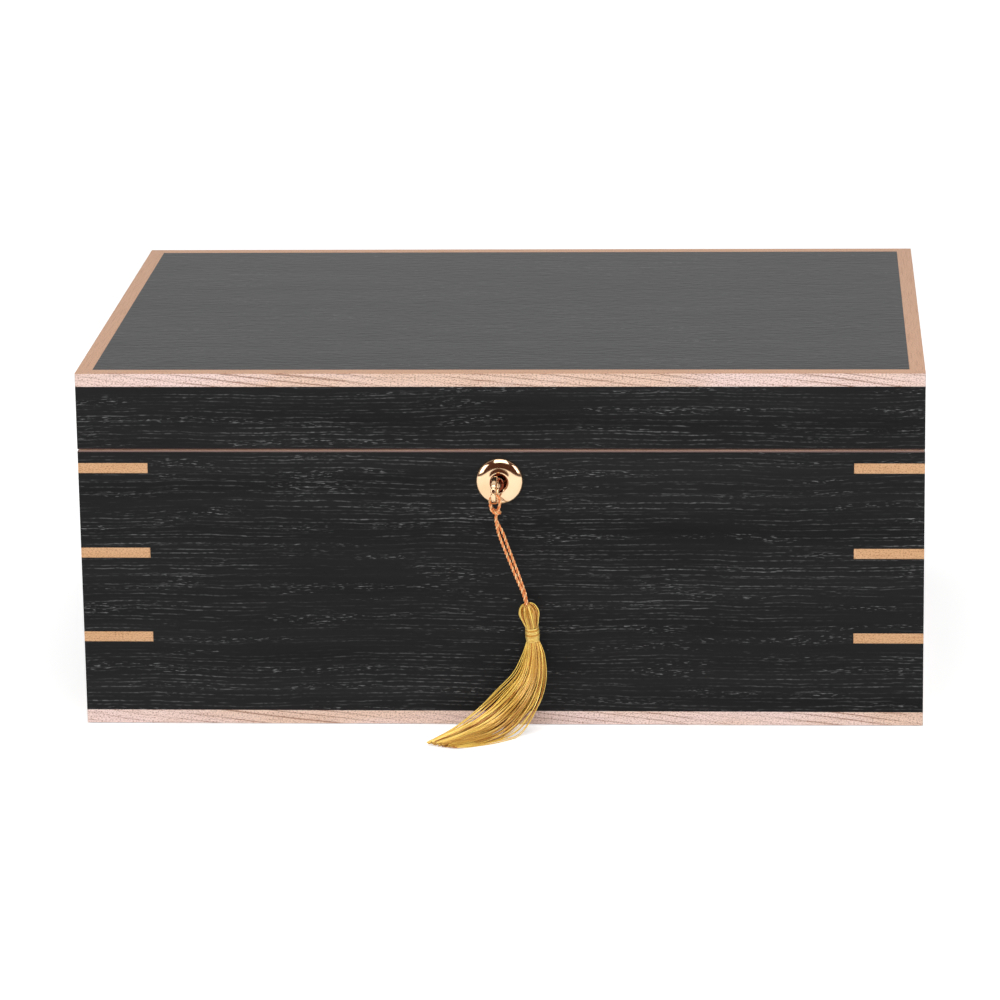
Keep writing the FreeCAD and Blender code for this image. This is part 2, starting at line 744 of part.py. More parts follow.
key.Placement.Rotation = FreeCAD.Rotation(V(0, 0, -1), sizes.get("key_tilt"))
bind(key, ("0", "lock_middle", "key_level"))
key.setExpression("Placement.Rotation.Angle", formula("key_tilt"))
finish(key)

# Maple banding on the two rims, with the outer edge broken and let in round the hinges and the lock


def rim_banding(name, thickness, low, high, seam_edge, cutters):
    """Four mitred strips on a rim."""
    strips = []
    for side in SIDES:
        strip = mitred(f"{name}_{side}_blank", side, thickness, low, high)
        arris = edge_cutter(f"{name}_{side}_arris", side, seam_edge)
        strips.append(cut(f"{name}_{side}", strip, arris, *cutters.get(side, [])))
    finish(group(name, strips))


base_band_cutters = {"front": [selvedge_blank], "back": mortises["base"]}
lid_band_cutters = {"front": [link_blank], "back": mortises["lid"]}
rim_banding("base_banding", "wall", "board_top", "base_rim", "base_rim", base_band_cutters)
rim_banding("lid_banding", "lid_wall", "lid_rim", "lid_board_bottom", "lid_rim", lid_band_cutters)

# Boards of the base

bore_start = ("0", "front_face - wall", "key_level")
bore_length = "2 * wall - lock_thickness"
lock_bore = rod("lock_bore", bore_start, "sleeve_outside + sleeve_clearance", bore_length, "Y")
base_cutters = {
    "front": [selvedge_blank, lock_mortise, lock_bore, *lock_blanks],
    "back": [*mortises["base"], *hinge_blanks["base"]],
    "left": [],
    "right": [],
}
for side in SIDES:
    blank = mitred(f"base_{side}_blank", side, "wall", "foot_lift", "board_top")
    near = [key for corner, keys in splines.items() if side in corner for key in keys]
    finish(cut(f"base_{side}", blank, plinth[side], floor_rebate, *near, *base_cutters[side]))

# Boards and top panel of the lid

lid_boards = ("lid_board_bottom", "lid_board_top")
lid_cutters = {"front": [link_blank, *link_blanks], "back": [*mortises["lid"], *hinge_blanks["lid"]]}
for side, tools in lid_cutters.items():
    finish(cut(f"lid_{side}", mitred(f"lid_{side}_blank", side, "lid_wall", *lid_boards), *tools))
for side in ("left", "right"):
    finish(mitred(f"lid_{side}", side, "lid_wall", *lid_boards))
top_length, top_depth = "case_length / 2 - edge_width", "case_depth / 2 - edge_width"
finish(panel("lid_top", top_length, top_depth, "lid_board_top", "case_height"))

# Cedar lining of the base, proud of the rim as the lip that the lid closes over

lining_height = ("cavity_bottom", "lip_top")
for side in ("front", "back"):
    across = outward(side, "clear_depth", "inside_depth")
    finish(box(f"lining_{side}", about(0, "inside_length"), across, lining_height))
for side in ("left", "right"):
    across = outward(side, "clear_length", "inside_length")
    finish(box(f"lining_{side}", across, about(0, "clear_depth"), lining_height))

# Cedar lining of the lid: the ceiling, and rails that meet the base's lip

finish(panel("lid_lining_top", "lid_inside_length", "lid_inside_depth", "lid_ceiling", "lid_board_top"))
rail_height = ("lip_top + lip_clearance", "lid_ceiling")
rails = []
for side in ("front", "back"):
    across = outward(side, "clear_depth", "lid_inside_depth")
    rails.append(box(f"rail_{side}", about(0, "lid_inside_length"), across, rail_height))
for side in ("left", "right"):
    across = outward(side, "clear_length", "lid_inside_length")
    rails.append(box(f"rail_{side}", across, about(0, "clear_depth"), rail_height))
finish(group("lid_lining_rails", rails))

# Tray of four boards and floor slats, on two rests, with finger notches in its ends

rest_height = ("rest_top - rest_height", "rest_top")
rests = []
for side in ("left", "right"):
    across = outward(side, "clear_length - rest_width", "clear_length")
    rests.append(box(f"rest_{side}", across, about(0, "clear_depth"), rest_height))
finish(group("tray_rests", rests))
tray_height = ("tray_bottom", "tray_top")
for side in ("front", "back"):
    across = outward(side, "tray_inside_depth", "tray_depth")
    finish(box(f"tray_{side}", about(0, "tray_length"), across, tray_height))
notch_start = ("-case_length / 2", "0", "tray_top + notch_radius - notch_depth")
finger_notch = rod("finger_notch", notch_start, "notch_radius", "case_length", "X")
for side in ("left", "right"):
    across = outward(side, "tray_inside_length", "tray_length")
    end_board = box(f"tray_{side}_blank", across, about(0, "tray_inside_depth"), tray_height)
    finish(cut(f"tray_{side}", end_board, finger_notch))

SLATS = 9
slat_height = ("tray_bottom", "tray_floor")
slats = []
for number in range(SLATS):
    low = f"-tray_inside_length + {number} * (2 * tray_inside_length - slat_width) / {SLATS - 1}"
    along = (low, f"{low} + slat_width")
    slats.append(box(f"slat_{number}", along, about(0, "tray_inside_depth"), slat_height))
finish(group("tray_slats", slats))

# Loose dividers, one in the tray and one in the base

divider_width = about(0, "divider_board / 2")
tray_divider_depth = about(0, "tray_inside_depth - divider_clearance")
tray_divider_height = ("tray_floor + tray_seat", "tray_top - tray_divider_drop")
finish(box("tray_divider", divider_width, tray_divider_depth, tray_divider_height))
foot = "cavity_bottom + tray_seat"
bottom_divider_depth = about(0, "clear_depth - divider_clearance")
finish(box("bottom_divider", divider_width, bottom_divider_depth, (foot, f"{foot} + bottom_divider_height")))

# Magnet discs that hold the hygrometer and the humidifier under the lid

MAGNET_PLACES = {
    "gauge": "gauge_place",
    "left": "humidifier_offset - magnet_spread",
    "right": "humidifier_offset + magnet_spread",
}
magnets = [
    rod(f"magnet_{word}", (x, "0", "gauge_ceiling"), "magnet_radius", "magnet_thickness")
    for word, x in MAGNET_PLACES.items()
]
finish(group("accessory_magnets", magnets))

# Hygrometer: a turned case open downwards, a dial with its arbor, a needle and a lens


def gauge_disc(name, low, radius, height):
    """A disc on the hygrometer's axis."""
    return rod(name, ("gauge_place", "0", low), radius, height)


gauge_cup = cut(
    "gauge_cup",
    gauge_disc("gauge_outside", "gauge_mouth", "gauge_radius", "gauge_depth"),
    gauge_disc("gauge_inside", "gauge_mouth", "gauge_bore", "gauge_depth - gauge_back"),
)
gauge_ledge = cut(
    "gauge_ledge",
    gauge_disc("ledge_outside", "lens_back", "gauge_radius - gauge_wall / 2", "dial_face - lens_back"),
    gauge_disc("ledge_inside", "lens_back", "ledge_bore", "dial_face - lens_back"),
)
rim_middle = ("gauge_place", "0", "gauge_mouth")
gauge_rim = ring("gauge_rim", rim_middle, "gauge_radius - gauge_wall / 2", "gauge_wall / 2", "Z")
finish(fused("hygrometer_case", gauge_cup, gauge_ledge, gauge_rim))
arbor_foot = "needle_level - arbor_play"
arbor = gauge_disc("gauge_arbor", arbor_foot, "arbor_radius", f"dial_face - ({arbor_foot})")
arbor_tip = gauge_disc("arbor_tip", f"{arbor_foot} - needle_thickness", "arbor_head", "needle_thickness")
disc_radius = "gauge_bore - disc_clearance"
dial_disc = gauge_disc("dial_disc", "dial_face", disc_radius, "dial_thickness")
finish(fused("hygrometer_dial", dial_disc, arbor, arbor_tip))
finish(gauge_disc("hygrometer_lens", "gauge_mouth + lens_recess", disc_radius, "lens_thickness"))
needle_width = about("gauge_place", "needle_width / 2")
needle_length = ("needle_margin - ledge_bore", "needle_tail")
needle_blade = box("needle_blade", needle_width, needle_length, ("needle_level", "needle_top"))
needle_hub = gauge_disc("needle_hub", "needle_level", "hub_radius", "needle_thickness")
hub_bore = gauge_disc("hub_bore", "needle_level", "arbor_radius + bearing_clearance", "needle_thickness")
finish(cut("hygrometer_needle", fused("needle_blank", needle_blade, needle_hub), hub_bore))

# Humidifier: a round-cornered tub open downwards, the grille in its mouth and the sponge between

SKETCH_CORNERS = [(-20, -10), (20, -10), (20, 10), (-20, 10)]


def rounded_slab(name, inset, low, height):
    """A slab with rounded upright corners, smaller all round than the humidifier by the inset."""
    body = document.addObject("PartDesign::Body", name)
    sketch = body.newObject("Sketcher::SketchObject", f"{name}_sketch")
    level_plane = next(plane for plane in body.Origin.OriginFeatures if plane.Role == "XY_Plane")
    sketch.AttachmentSupport = [(level_plane, "")]
    sketch.MapMode = "FlatFace"
    for number, corner in enumerate(SKETCH_CORNERS):
        following = SKETCH_CORNERS[(number + 1) % 4]
        sketch.addGeometry(Part.LineSegment(V(*corner, 0), V(*following, 0)))
    for number, direction in enumerate(("Horizontal", "Vertical", "Horizontal", "Vertical")):
        sketch.addConstraint(Sketcher.Constraint("Coincident", number, 2, (number + 1) % 4, 1))
        sketch.addConstraint(Sketcher.Constraint(direction, number))
    sketch.addConstraint(Sketcher.Constraint("Symmetric", 0, 1, 1, 2, -1, 1))
    long_side = sketch.addConstraint(Sketcher.Constraint("DistanceX", 0, 1, 0, 2, 40))
    short_side = sketch.addConstraint(Sketcher.Constraint("DistanceY", 1, 1, 1, 2, 20))
    sketch.setExpression(f"Constraints[{long_side}]", formula(f"humidifier_length - 2 * ({inset})"))
    sketch.setExpression(f"Constraints[{short_side}]", formula(f"humidifier_width - 2 * ({inset})"))
    pad = body.newObject("PartDesign::Pad", f"{name}_pad")
    pad.Profile = sketch
    bind(pad, Length=height)
    document.recompute()
    upright = [
        f"Edge{number}"
        for number, edge in enumerate(pad.Shape.Edges, 1)
        if abs(edge.Vertexes[0].Z - edge.Vertexes[1].Z) > edge.Length / 2
    ]
    rounding = body.newObject("PartDesign::Fillet", f"{name}_corners")
    rounding.Base = (pad, upright)
    bind(rounding, Radius=f"humidifier_corner - ({inset})")
    body.Tip = rounding
    return bind(body, ("humidifier_offset", "0", low))


tub_outside = rounded_slab("tub_outside", "0", "humidifier_mouth", "humidifier_depth")
tub_room = "humidifier_depth - humidifier_wall"
tub_inside = rounded_slab("tub_inside", "humidifier_wall", "humidifier_mouth", tub_room)
finish(cut("humidifier_housing", tub_outside, tub_inside))
GRILLE_SLOTS = 15
grille_slots = []
for number in range(GRILLE_SLOTS):
    slot_place = f"humidifier_offset + {number - GRILLE_SLOTS // 2} * grille_slot_pitch"
    slot_width = about(slot_place, "grille_slot_width / 2")
    slot_length = about(0, "grille_slot_length / 2")
    slot_depth = about("humidifier_mouth", "2 * grille_thickness")
    grille_slots.append(box(f"grille_slot_{number}", slot_width, slot_length, slot_depth))
grille_plate = rounded_slab("grille_plate", "humidifier_wall", "humidifier_mouth", "grille_thickness")
finish(cut("humidifier_grille", grille_plate, *grille_slots))
sponge_inset = "humidifier_wall + sponge_clearance"
sponge_height = "humidifier_depth - humidifier_wall - grille_thickness - sponge_clearance"
finish(rounded_slab("humidifier_sponge", sponge_inset, "humidifier_mouth + grille_thickness", sponge_height))

# Tassel cord, from the middle of the bow's lower limb: up one leg, over the limb, round both legs and back


def feature(name, shape):
    """A finished piece whose shape is made here, in its place."""
    piece = document.addObject("Part::Feature", name)
    piece.Shape = shape
    piece.Placement = FreeCAD.Placement()
    finish(piece)


lean = math.radians(sizes.get("key_tilt"))
bow_offset = places.get("bow_place")
LIMB = V(
    bow_offset * math.sin(lean),
    places.get("lock_middle") + bow_offset * math.cos(lean),
    places.get("key_level") - sizes.get("bow_tall") / 2 + sizes.get("bow_limb") / 2,
)
CORD_DIAMETER = 1.3
LEG_GAP = V(0.72, 0.12, 0.2)
LEG = [
    V(12.23, 5.78, -47.1),
    V(11.63, 5.38, -42.4),
    V(10.13, 4.68, -37.7),
    V(8.33, 3.98, -32.6),
    V(6.03, 2.98, -25.9),
    V(3.73, 1.88, -19.2),
    V(1.93, 0.78, -13.4),
]
HITCH = [
    V(0.15, 0.72, -8.3),
    V(0.5, 0.72, -4.9),
    V(1.98, 0.72, -2.2),
    V(1.98, 0.72, 1.98),
    V(-1.98, 0.72, 1.98),
    V(-1.98, 0.72, -2.0),
    V(-1.0, 2.1, -4.3),
    V(2.0, 2.1, -4.9),
]


def cord_route():
    """One leg, the hitch's front half, its back half and the other leg."""
    front = [V(point.x, -point.y, point.z) for point in HITCH]
    first = [point - LEG_GAP for point in LEG]
    last = [point + LEG_GAP for point in reversed(LEG)]
    return [LIMB + point for point in first + front + HITCH[::-1] + last]


def rounded_path(points):
    """Straight runs joined by tangent arcs, as a wire, with the arcs' radii."""
    edges, radii = [], []
    start = points[0]
    for before, corner, after in zip(points, points[1:], points[2:]):
        inward = corner - before
        onward = after - corner
        half_turn = inward.getAngle(onward) / 2
        cut_back = 0.45 * min(inward.Length, onward.Length)
        radius = cut_back / math.tan(half_turn)
        inward.normalize()
        onward.normalize()
        first = corner - inward * cut_back
        last = corner + onward * cut_back
        to_centre = (onward - inward).normalize()
        middle = corner + to_centre * radius * (1 / math.cos(half_turn) - 1)
        edges.append(Part.LineSegment(start, first).toShape())
        edges.append(Part.Arc(first, middle, last).toShape())
        radii.append(radius)
        start = last
    edges.append(Part.LineSegment(start, points[-1]).toShape())
    return Part.Wire(edges), radii


route = cord_route()
path, bends = rounded_path(route)
section = Part.Wire(Part.makeCircle(CORD_DIAMETER / 2, route[0], route[1] - route[0]))
cord = path.makePipeShell([section], True, False)
feature("tassel_cord", cord)
print("cord length", round(path.Length, 1), "bend radii", [round(radius, 2) for radius in bends])
print("cord volume", round(cord.Volume, 2), "of", round(math.pi * CORD_DIAMETER**2 / 4 * path.Length, 2))

# Tassel head and neck binding, turned about the lines that they hang on

HEAD_TOP = LIMB + V(12.23, 5.78, -45.1)
NECK_TOP = LIMB + V(14.13, 6.38, -55.4)
NECK_END = LIMB + V(14.43, 6.98, -61.6)
NECK_RADIUS = 2.8
HEAD_OUTLINE = [(0, 1.9), (0.12, 3.3), (0.4, 4.25), (0.75, 3.6), (1, NECK_RADIUS)]
NECK_OUTLINE = [(0, NECK_RADIUS), (0.5, 2.95), (1, NECK_RADIUS)]


def turned(start, end, outline):
    """A solid turned about the line from start to end; the outline gives radii at shares of its length."""
    line = end - start
    sideways = line.cross(V(0, 1, 0)).normalize()
    rim = [start + line * share + sideways * radius for share, radius in outline]
    curve = Part.BSplineCurve()
    curve.interpolate(rim)
    top = Part.makeLine(start, rim[0])
    bottom = Part.makeLine(rim[-1], end)
    axis = Part.makeLine(end, start)
    return Part.Face(Part.Wire([top, curve.toShape(), bottom, axis])).revolve(start, line, 360)


binding = turned(NECK_TOP, NECK_END, NECK_OUTLINE)
feature("tassel_head", turned(HEAD_TOP, NECK_TOP, HEAD_OUTLINE).cut(binding))
feature("tassel_binding", binding)

# Tassel fringe, a skirt that swells from the neck, sweeps aside and lies on the ground

# each row: the middle from the limb, the half axis across the skirt and the half axis through it
FRINGE = [
    (V(14.43, 6.98, -61.63), V(2.8, 0, 0.135), V(0, 2.8, 0.271)),
    (V(14.73, 6.58, -69.2), V(4.3, 0, 0.5), V(0, 3.6, 0)),
    (V(12.53, 5.78, -78.2), V(7.2, 0, 1.4), V(0, 4.4, 0)),
    (V(7.23, 3.98, -87.0), V(7.8, 0, -4.3), V(0, 5, 0)),
    (V(-0.47, -0.02, -93.6), V(7.5, -1.5, -5.0), V(-1, -5, 0.8)),
    (V(-10.17, -8.02, -97.1), V(6.2, -2, -3.7), V(-1.5, -4, 1.4)),
    (V(-22.77, -17.02, -99.6), V(6.3, -2.5, -0.2), V(-0.2, -0.6, 1.5)),
]


def oval_section(middle, across, through):
    """A closed outline of four arcs, near an ellipse."""
    angles = [number * math.pi / 4 for number in range(9)]
    points = [LIMB + middle + across * math.cos(angle) + through * math.sin(angle) for angle in angles]
    return Part.Wire([Part.Arc(*points[number : number + 3]).toShape() for number in (0, 2, 4, 6)])


skirt = Part.makeLoft([oval_section(*row) for row in FRINGE], True, False)
ground = Part.makeBox(200, 200, 50, V(-100, LIMB.y - 100, -50))
feature("tassel_fringe", skirt.cut(ground))

# Every object is checked, then each finished piece is written

document.recompute()
for thing in document.Objects:
    if {"Invalid", "Error"} & set(thing.State):
        raise RuntimeError(f"{thing.Name}: {thing.State}")
for piece in FINISHED:
    shape = piece.Shape
    if shape.isNull() or not shape.isValid() or not shape.Solids:
        raise RuntimeError(f"{piece.Label} has no valid shape")
os.makedirs("parts", exist_ok=True)
for piece in FINISHED:
    piece.Shape.exportStep(f"parts/{piece.Label}.step")
print(len(FINISHED), "pieces written")
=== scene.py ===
"""The looks of a black oak humidor: its woods, its brass lock and key, its tassel and what lies inside.

Metres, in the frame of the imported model. Colours are written as they look, from 0 to 255, and made linear.
"""

import math

import bpy
import numpy as np
from mathutils import Matrix, Vector


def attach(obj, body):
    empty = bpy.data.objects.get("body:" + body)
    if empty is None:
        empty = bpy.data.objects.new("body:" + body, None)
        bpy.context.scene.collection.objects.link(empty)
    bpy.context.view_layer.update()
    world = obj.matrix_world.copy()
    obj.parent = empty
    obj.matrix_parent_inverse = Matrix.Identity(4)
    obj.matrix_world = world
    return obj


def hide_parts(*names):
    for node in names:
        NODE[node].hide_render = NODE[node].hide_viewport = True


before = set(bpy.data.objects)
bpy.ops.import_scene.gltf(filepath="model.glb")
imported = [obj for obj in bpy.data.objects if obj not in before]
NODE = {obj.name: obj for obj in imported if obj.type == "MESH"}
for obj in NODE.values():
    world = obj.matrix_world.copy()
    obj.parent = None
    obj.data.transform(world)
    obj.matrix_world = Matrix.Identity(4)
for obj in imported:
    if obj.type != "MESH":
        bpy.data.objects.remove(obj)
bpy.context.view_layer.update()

# The camera stands two metres in front of the chest, a little to its right, and looks down on it.
# Its place, lens and turns come from the edges of the chest in the photograph.

CAMERA_PLACE = (0.1181, -2.0223, 0.5999)
CAMERA_LENS = 171.39  # in millimetres, as the sensor's width is
CAMERA_SENSOR = 36
CAMERA_TURNS = ((3.557, "Z"), (90 - 14.805, "X"), (-0.849, "Z"))  # heading, drop and roll in degrees

camera = bpy.data.objects.new("camera", bpy.data.cameras.new("camera"))
camera.data.lens = CAMERA_LENS
camera.data.sensor_width = CAMERA_SENSOR
stand = Matrix.Translation(CAMERA_PLACE)
for degrees, axis in CAMERA_TURNS:
    stand = stand @ Matrix.Rotation(math.radians(degrees), 4, axis)
camera.matrix_world = stand
bpy.context.scene.view_settings.view_transform = "Standard"
bpy.context.scene.collection.objects.link(camera)
bpy.context.scene.camera = camera

# The studio: a white floor that keeps a soft shadow, a pale room and three soft lamps.
# The lamps and the room together light a surface at about its own colour.

FLOOR_COLOUR = 0.8
FLOOR_MOTTLE = 0.02
FLOOR_GLOW = 0.53  # added for the camera, glass and metal only, so the floor reads as white paper
FAR_GLOW = 0.3  # added to it far from the lamps
FAR_FROM, FAR_TO = 0.7, 3
FLOOR_REACH = 9
FLOOR_LEVEL = -0.0002
ROOM_LEVEL = 0.37
ROOM_BEHIND_CAMERA = 0.09  # what metal shows of the dark half of the room
ROOM_DARK, ROOM_PALE = -0.35, 0.25  # from -1 behind the camera to 1, where dark ends and pale begins
ROOM_BROWN = (1, 0.42, 0.3)
BROWN_FALL = 3  # the power by which the brown leaves the room as it gets paler
LAMP_AIM = (0, 0, 0.08)  # the middle of the chest
LAMPS = {  # place, size and power
    "lamp_above": ((0.1, -1.1, 1.9), 1.5, 24),
    "lamp_left": ((-1.9, -1.5, 1.0), 1.2, 17),
    "lamp_right": ((2.0, -1.2, 1.1), 1.2, 14),
}


class Value:
    """An output of a shader's node. Python's arithmetic on it adds Math nodes to the same shader."""

    def __init__(self, shader, socket):
        self.shader = shader
        self.socket = socket

    def math(self, operation, *others):
        return self.shader.node("ShaderNodeMath", {"operation": operation}, (self, *others))

    def __add__(self, other):
        return self.math("ADD", other)

    def __sub__(self, other):
        return self.math("SUBTRACT", other)

    def __mul__(self, other):
        return self.math("MULTIPLY", other)

    def __truediv__(self, other):
        return self.math("DIVIDE", other)

    def __rsub__(self, other):
        return self * -1 + other

    __radd__ = __add__
    __rmul__ = __mul__


class Shader:
    """The nodes of one material, or of the world."""

    def __init__(self, owner):
        self.owner = owner
        owner.use_nodes = True
        self.tree = owner.node_tree

    def node(self, kind, settings=None, inputs=(), output=0):
        """A node of that type: its settings are set first, then its inputs, and one output comes back."""
        made = self.tree.nodes.new(kind)
        for word, setting in (settings or {}).items():
            setattr(made, word, setting)
        pairs = inputs.items() if isinstance(inputs, dict) else enumerate(inputs)
        for key, value in pairs:
            self.feed(made.inputs[key], value)
        return Value(self, made.outputs[output])

    def feed(self, socket, value):
        """A link, a number or a colour into a socket."""
        if isinstance(value, Value):
            self.tree.links.new(value.socket, socket)
        elif socket.type == "RGBA":
            socket.default_value = (*value, 1)
        else:
            socket.default_value = value

    def mix(self, share, first, second):
        """A colour from first to second as the share goes from 0 to 1."""
        return self.node("ShaderNodeMix", {"data_type": "RGBA"}, {0: share, 6: first, 7: second}, 2)

    def rise(self, value, low, high):
        """0 below low, 1 above high and smooth between them; high may be the lower one."""
        smooth = {"interpolation_type": "SMOOTHSTEP"}
        if low < high:
            return self.node("ShaderNodeMapRange", smooth, (value, low, high, 0, 1))
        return self.node("ShaderNodeMapRange", smooth, (value, high, low, 1, 0))

    def noise(self, place, detail=2, roughness=0.5):
        """Blender's noise from 0 to 1 at a place whose units are the pattern's own."""
        inputs = {"Vector": place, "Scale": 1, "Detail": detail, "Roughness": roughness}
        return self.node("ShaderNodeTexNoise", {}, inputs)

    def chance(self, number):
        """A number from 0 to 1 that seems random, and is the same whenever the number is."""
        return self.node("ShaderNodeTexWhiteNoise", {"noise_dimensions": "1D"}, {"W": number})

    def place(self, scale=(1, 1, 1), turn=0):
        """Object coordinates, turned about Z and scaled."""
        where = self.node("ShaderNodeTexCoord", {}, (), "Object")
        inputs = {"Vector": where, "Rotation": (0, 0, turn), "Scale": scale}
        return self.node("ShaderNodeMapping", {}, inputs)

    def axes(self, vector):
        """The three numbers of a vector."""
        return [self.node("ShaderNodeSeparateXYZ", {}, (vector,), axis) for axis in "XYZ"]

    def joined(self, x, y, z=0):
        """A vector of three numbers."""
        return self.node("ShaderNodeCombineXYZ", {}, (x, y, z))

    def soft_edge(self, radius):
        """A normal that rounds a form's sharp edges in the light, by a radius."""
        return self.node("ShaderNodeBevel", {"samples": 4}, {"Radius": radius})

    def bump(self, height, distance, normal=None):
        """A normal for a height from 0 to 1 over a surface, on top of another normal where one is given."""
        inputs = {"Height": height, "Distance": distance, "Strength": 1}
        if normal is not None:
            inputs["Normal"] = normal
        return self.node("ShaderNodeBump", {}, inputs)


def dress(shader, **sockets):
    """Values or links into the sockets of a material's Principled shader."""
    surface = shader.tree.nodes["Principled BSDF"]
    for word, value in sockets.items():
        shader.feed(surface.inputs[word.replace("_", " ")], value)
    return shader.owner


def mirrored(shader):
    """1 on rays from metal and on rays through glass."""
    glossy = shader.node("ShaderNodeLightPath", {}, (), "Is Glossy Ray")
    return glossy.math("MAXIMUM", shader.node("ShaderNodeLightPath", {}, (), "Is Transmission Ray"))


paper = Shader(bpy.data.materials.new("floor_paper"))
paper_seen = mirrored(paper).math("MAXIMUM", paper.node("ShaderNodeLightPath", {}, (), "Is Camera Ray"))
mottle = paper.noise(paper.place((3, 3, 3))) * FLOOR_MOTTLE + (FLOOR_COLOUR - FLOOR_MOTTLE / 2)
dress(paper, Base_Color=paper.joined(mottle, mottle, mottle), Roughness=1, Specular_IOR_Level=0)
floor_x, floor_y = paper.axes(paper.place())[:2]
far = paper.rise((floor_x * floor_x + floor_y * floor_y).math("SQRT"), FAR_FROM, FAR_TO)
glow = paper_seen * (FLOOR_GLOW + far * FAR_GLOW)
dress(paper, Emission_Color=paper.joined(glow, glow, glow), Emission_Strength=1)
floor_mesh = bpy.data.meshes.new("floor")
corners = ((-1, -1), (1, -1), (1, 1), (-1, 1))
floor_corners = [(x * FLOOR_REACH, y * FLOOR_REACH, FLOOR_LEVEL) for x, y in corners]
floor_mesh.from_pydata(floor_corners, [], [(0, 1, 2, 3)])
floor_mesh.materials.append(paper.owner)
floor = bpy.data.objects.new("floor", floor_mesh)
bpy.context.scene.collection.objects.link(floor)

bpy.context.scene.world = bpy.data.worlds.new("room")
room = Shader(bpy.context.scene.world)
room_seen = room.node("ShaderNodeLightPath", {}, (), "Is Camera Ray")
room_back = room.axes(room.node("ShaderNodeTexCoord", {}, (), "Generated"))[1]
pale = room.rise(room_back, ROOM_DARK, ROOM_PALE)
backdrop = pale * (1 - ROOM_BEHIND_CAMERA) + ROOM_BEHIND_CAMERA
light = mirrored(room) * (backdrop - ROOM_LEVEL) + ROOM_LEVEL
room.feed(room.tree.nodes["Background"].inputs["Strength"], room_seen + (1 - room_seen) * light)
tint = room.mix(mirrored(room) * (1 - pale).math("POWER", BROWN_FALL), (1, 1, 1), ROOM_BROWN)
room.feed(room.tree.nodes["Background"].inputs["Color"], tint)
for name, (spot, size, power) in LAMPS.items():
    lamp = bpy.data.objects.new(name, bpy.data.lights.new(name, "AREA"))
    lamp.data.size = size
    lamp.data.energy = power
    lamp.location = spot
    lamp.rotation_euler = (Vector(LAMP_AIM) - Vector(spot)).to_track_quat("-Z", "Y").to_euler()
    bpy.context.scene.collection.objects.link(lamp)

# The case and the lid: boards faced with open-pored oak veneer that is stained black.
# Its grain lies level round the four sides, and pale pores show along it in broken lines.

MM = 0.001


def linear(*shades):
    """A colour written from 0 to 255, as linear light."""
    share = np.array(shades) / 255
    light = np.where(share > 0.04045, ((share + 0.055) / 1.055) ** 2.4, share / 12.92)
    return tuple(float(part) for part in light)


OAK_BLACK = linear(5, 5, 6)
OAK_PORE = linear(126, 126, 127)
LINE_PITCH = 1.6 * MM
LINE_WANDER = 6 * MM
LINE_QUIVER = 1.5 * MM
PORE_DEPTH = 0.05 * MM
OAK_EDGE = 0.35 * MM
QUARTER_TURN = math.pi / 2


def wear(material, *names):
    """Gives CAD nodes a material."""
    for name in names:
        NODE[name].material_slots[0].material = material


def black_oak(name, turn):
    """Level lines that wander a little, broken into dashes, and clusters of short flecks along them.

    A number that x or across is multiplied by is how many cells of the noise there are in a metre."""
    oak = Shader(bpy.data.materials.new(name))
    x, y, z = oak.axes(oak.place(turn=turn))
    across = y + z
    wander = oak.noise(oak.joined(x * 11, across * 22), 1) - 0.5
    quiver = oak.noise(oak.joined(x * 80, across * 240, 4), 2) - 0.5
    lines = (across + wander * LINE_WANDER + quiver * LINE_QUIVER) / LINE_PITCH
    row = lines.math("FLOOR")
    home = oak.chance(row) * 0.7 + 0.15
    weight = oak.chance(row + 0.5) * 0.8 + 0.1
    offset = (lines - row - home).math("ABSOLUTE")
    dash = oak.rise(oak.noise(oak.joined(x * 70, row * 3.7, row * 1.3), 3, 0.65), 0.36, 0.62)
    broken = oak.rise(oak.noise(oak.joined(x * 420, lines * 1.5), 1), 0.38, 0.6) * 0.8 + 0.2
    strong = oak.rise(oak.noise(oak.joined(x * 9, across * 40, 2), 2), 0.28, 0.7)
    line = oak.rise(offset, 0.2, 0.04) * dash * broken * strong * weight
    fleck = oak.rise(oak.noise(oak.joined(x * 280, lines * 3.6), 2), 0.58, 0.7)
    cluster = oak.rise(oak.noise(oak.joined(x * 20, lines * 0.36, 3), 1), 0.52, 0.7)
    pores = (line * 0.8).math("MAXIMUM", fleck * cluster * 0.9)
    tone = oak.noise(oak.joined(x * 4, across * 60, 5), 3, 0.6) * 0.1
    wave = oak.noise(oak.joined(x * 150, across * 380, 8), 3, 0.6)
    fibre = oak.noise(oak.joined(x * 60, across * 2600, 9), 2)
    dress(oak, Base_Color=oak.mix((pores + tone).math("MINIMUM", 1), OAK_BLACK, OAK_PORE))
    dress(oak, Roughness=fibre * 0.14 + pores * 0.2 + 0.3, Specular_IOR_Level=0.085)
    return dress(oak, Normal=oak.bump(wave * 5 + fibre * 0.3 - pores, PORE_DEPTH, oak.soft_edge(OAK_EDGE)))


wear(black_oak("oak_black_long", 0), "base_front", "base_back", "lid_front", "lid_back", "lid_top")
wear(black_oak("oak_black_short", QUARTER_TURN), "base_left", "base_right", "lid_left", "lid_right")

# The strips along the lid's upper edge and the plinth, the bands in the rims and the splines at the corners.
# They are pale maple, let in flush. Each corner is mitred, and a spline lies level across it.

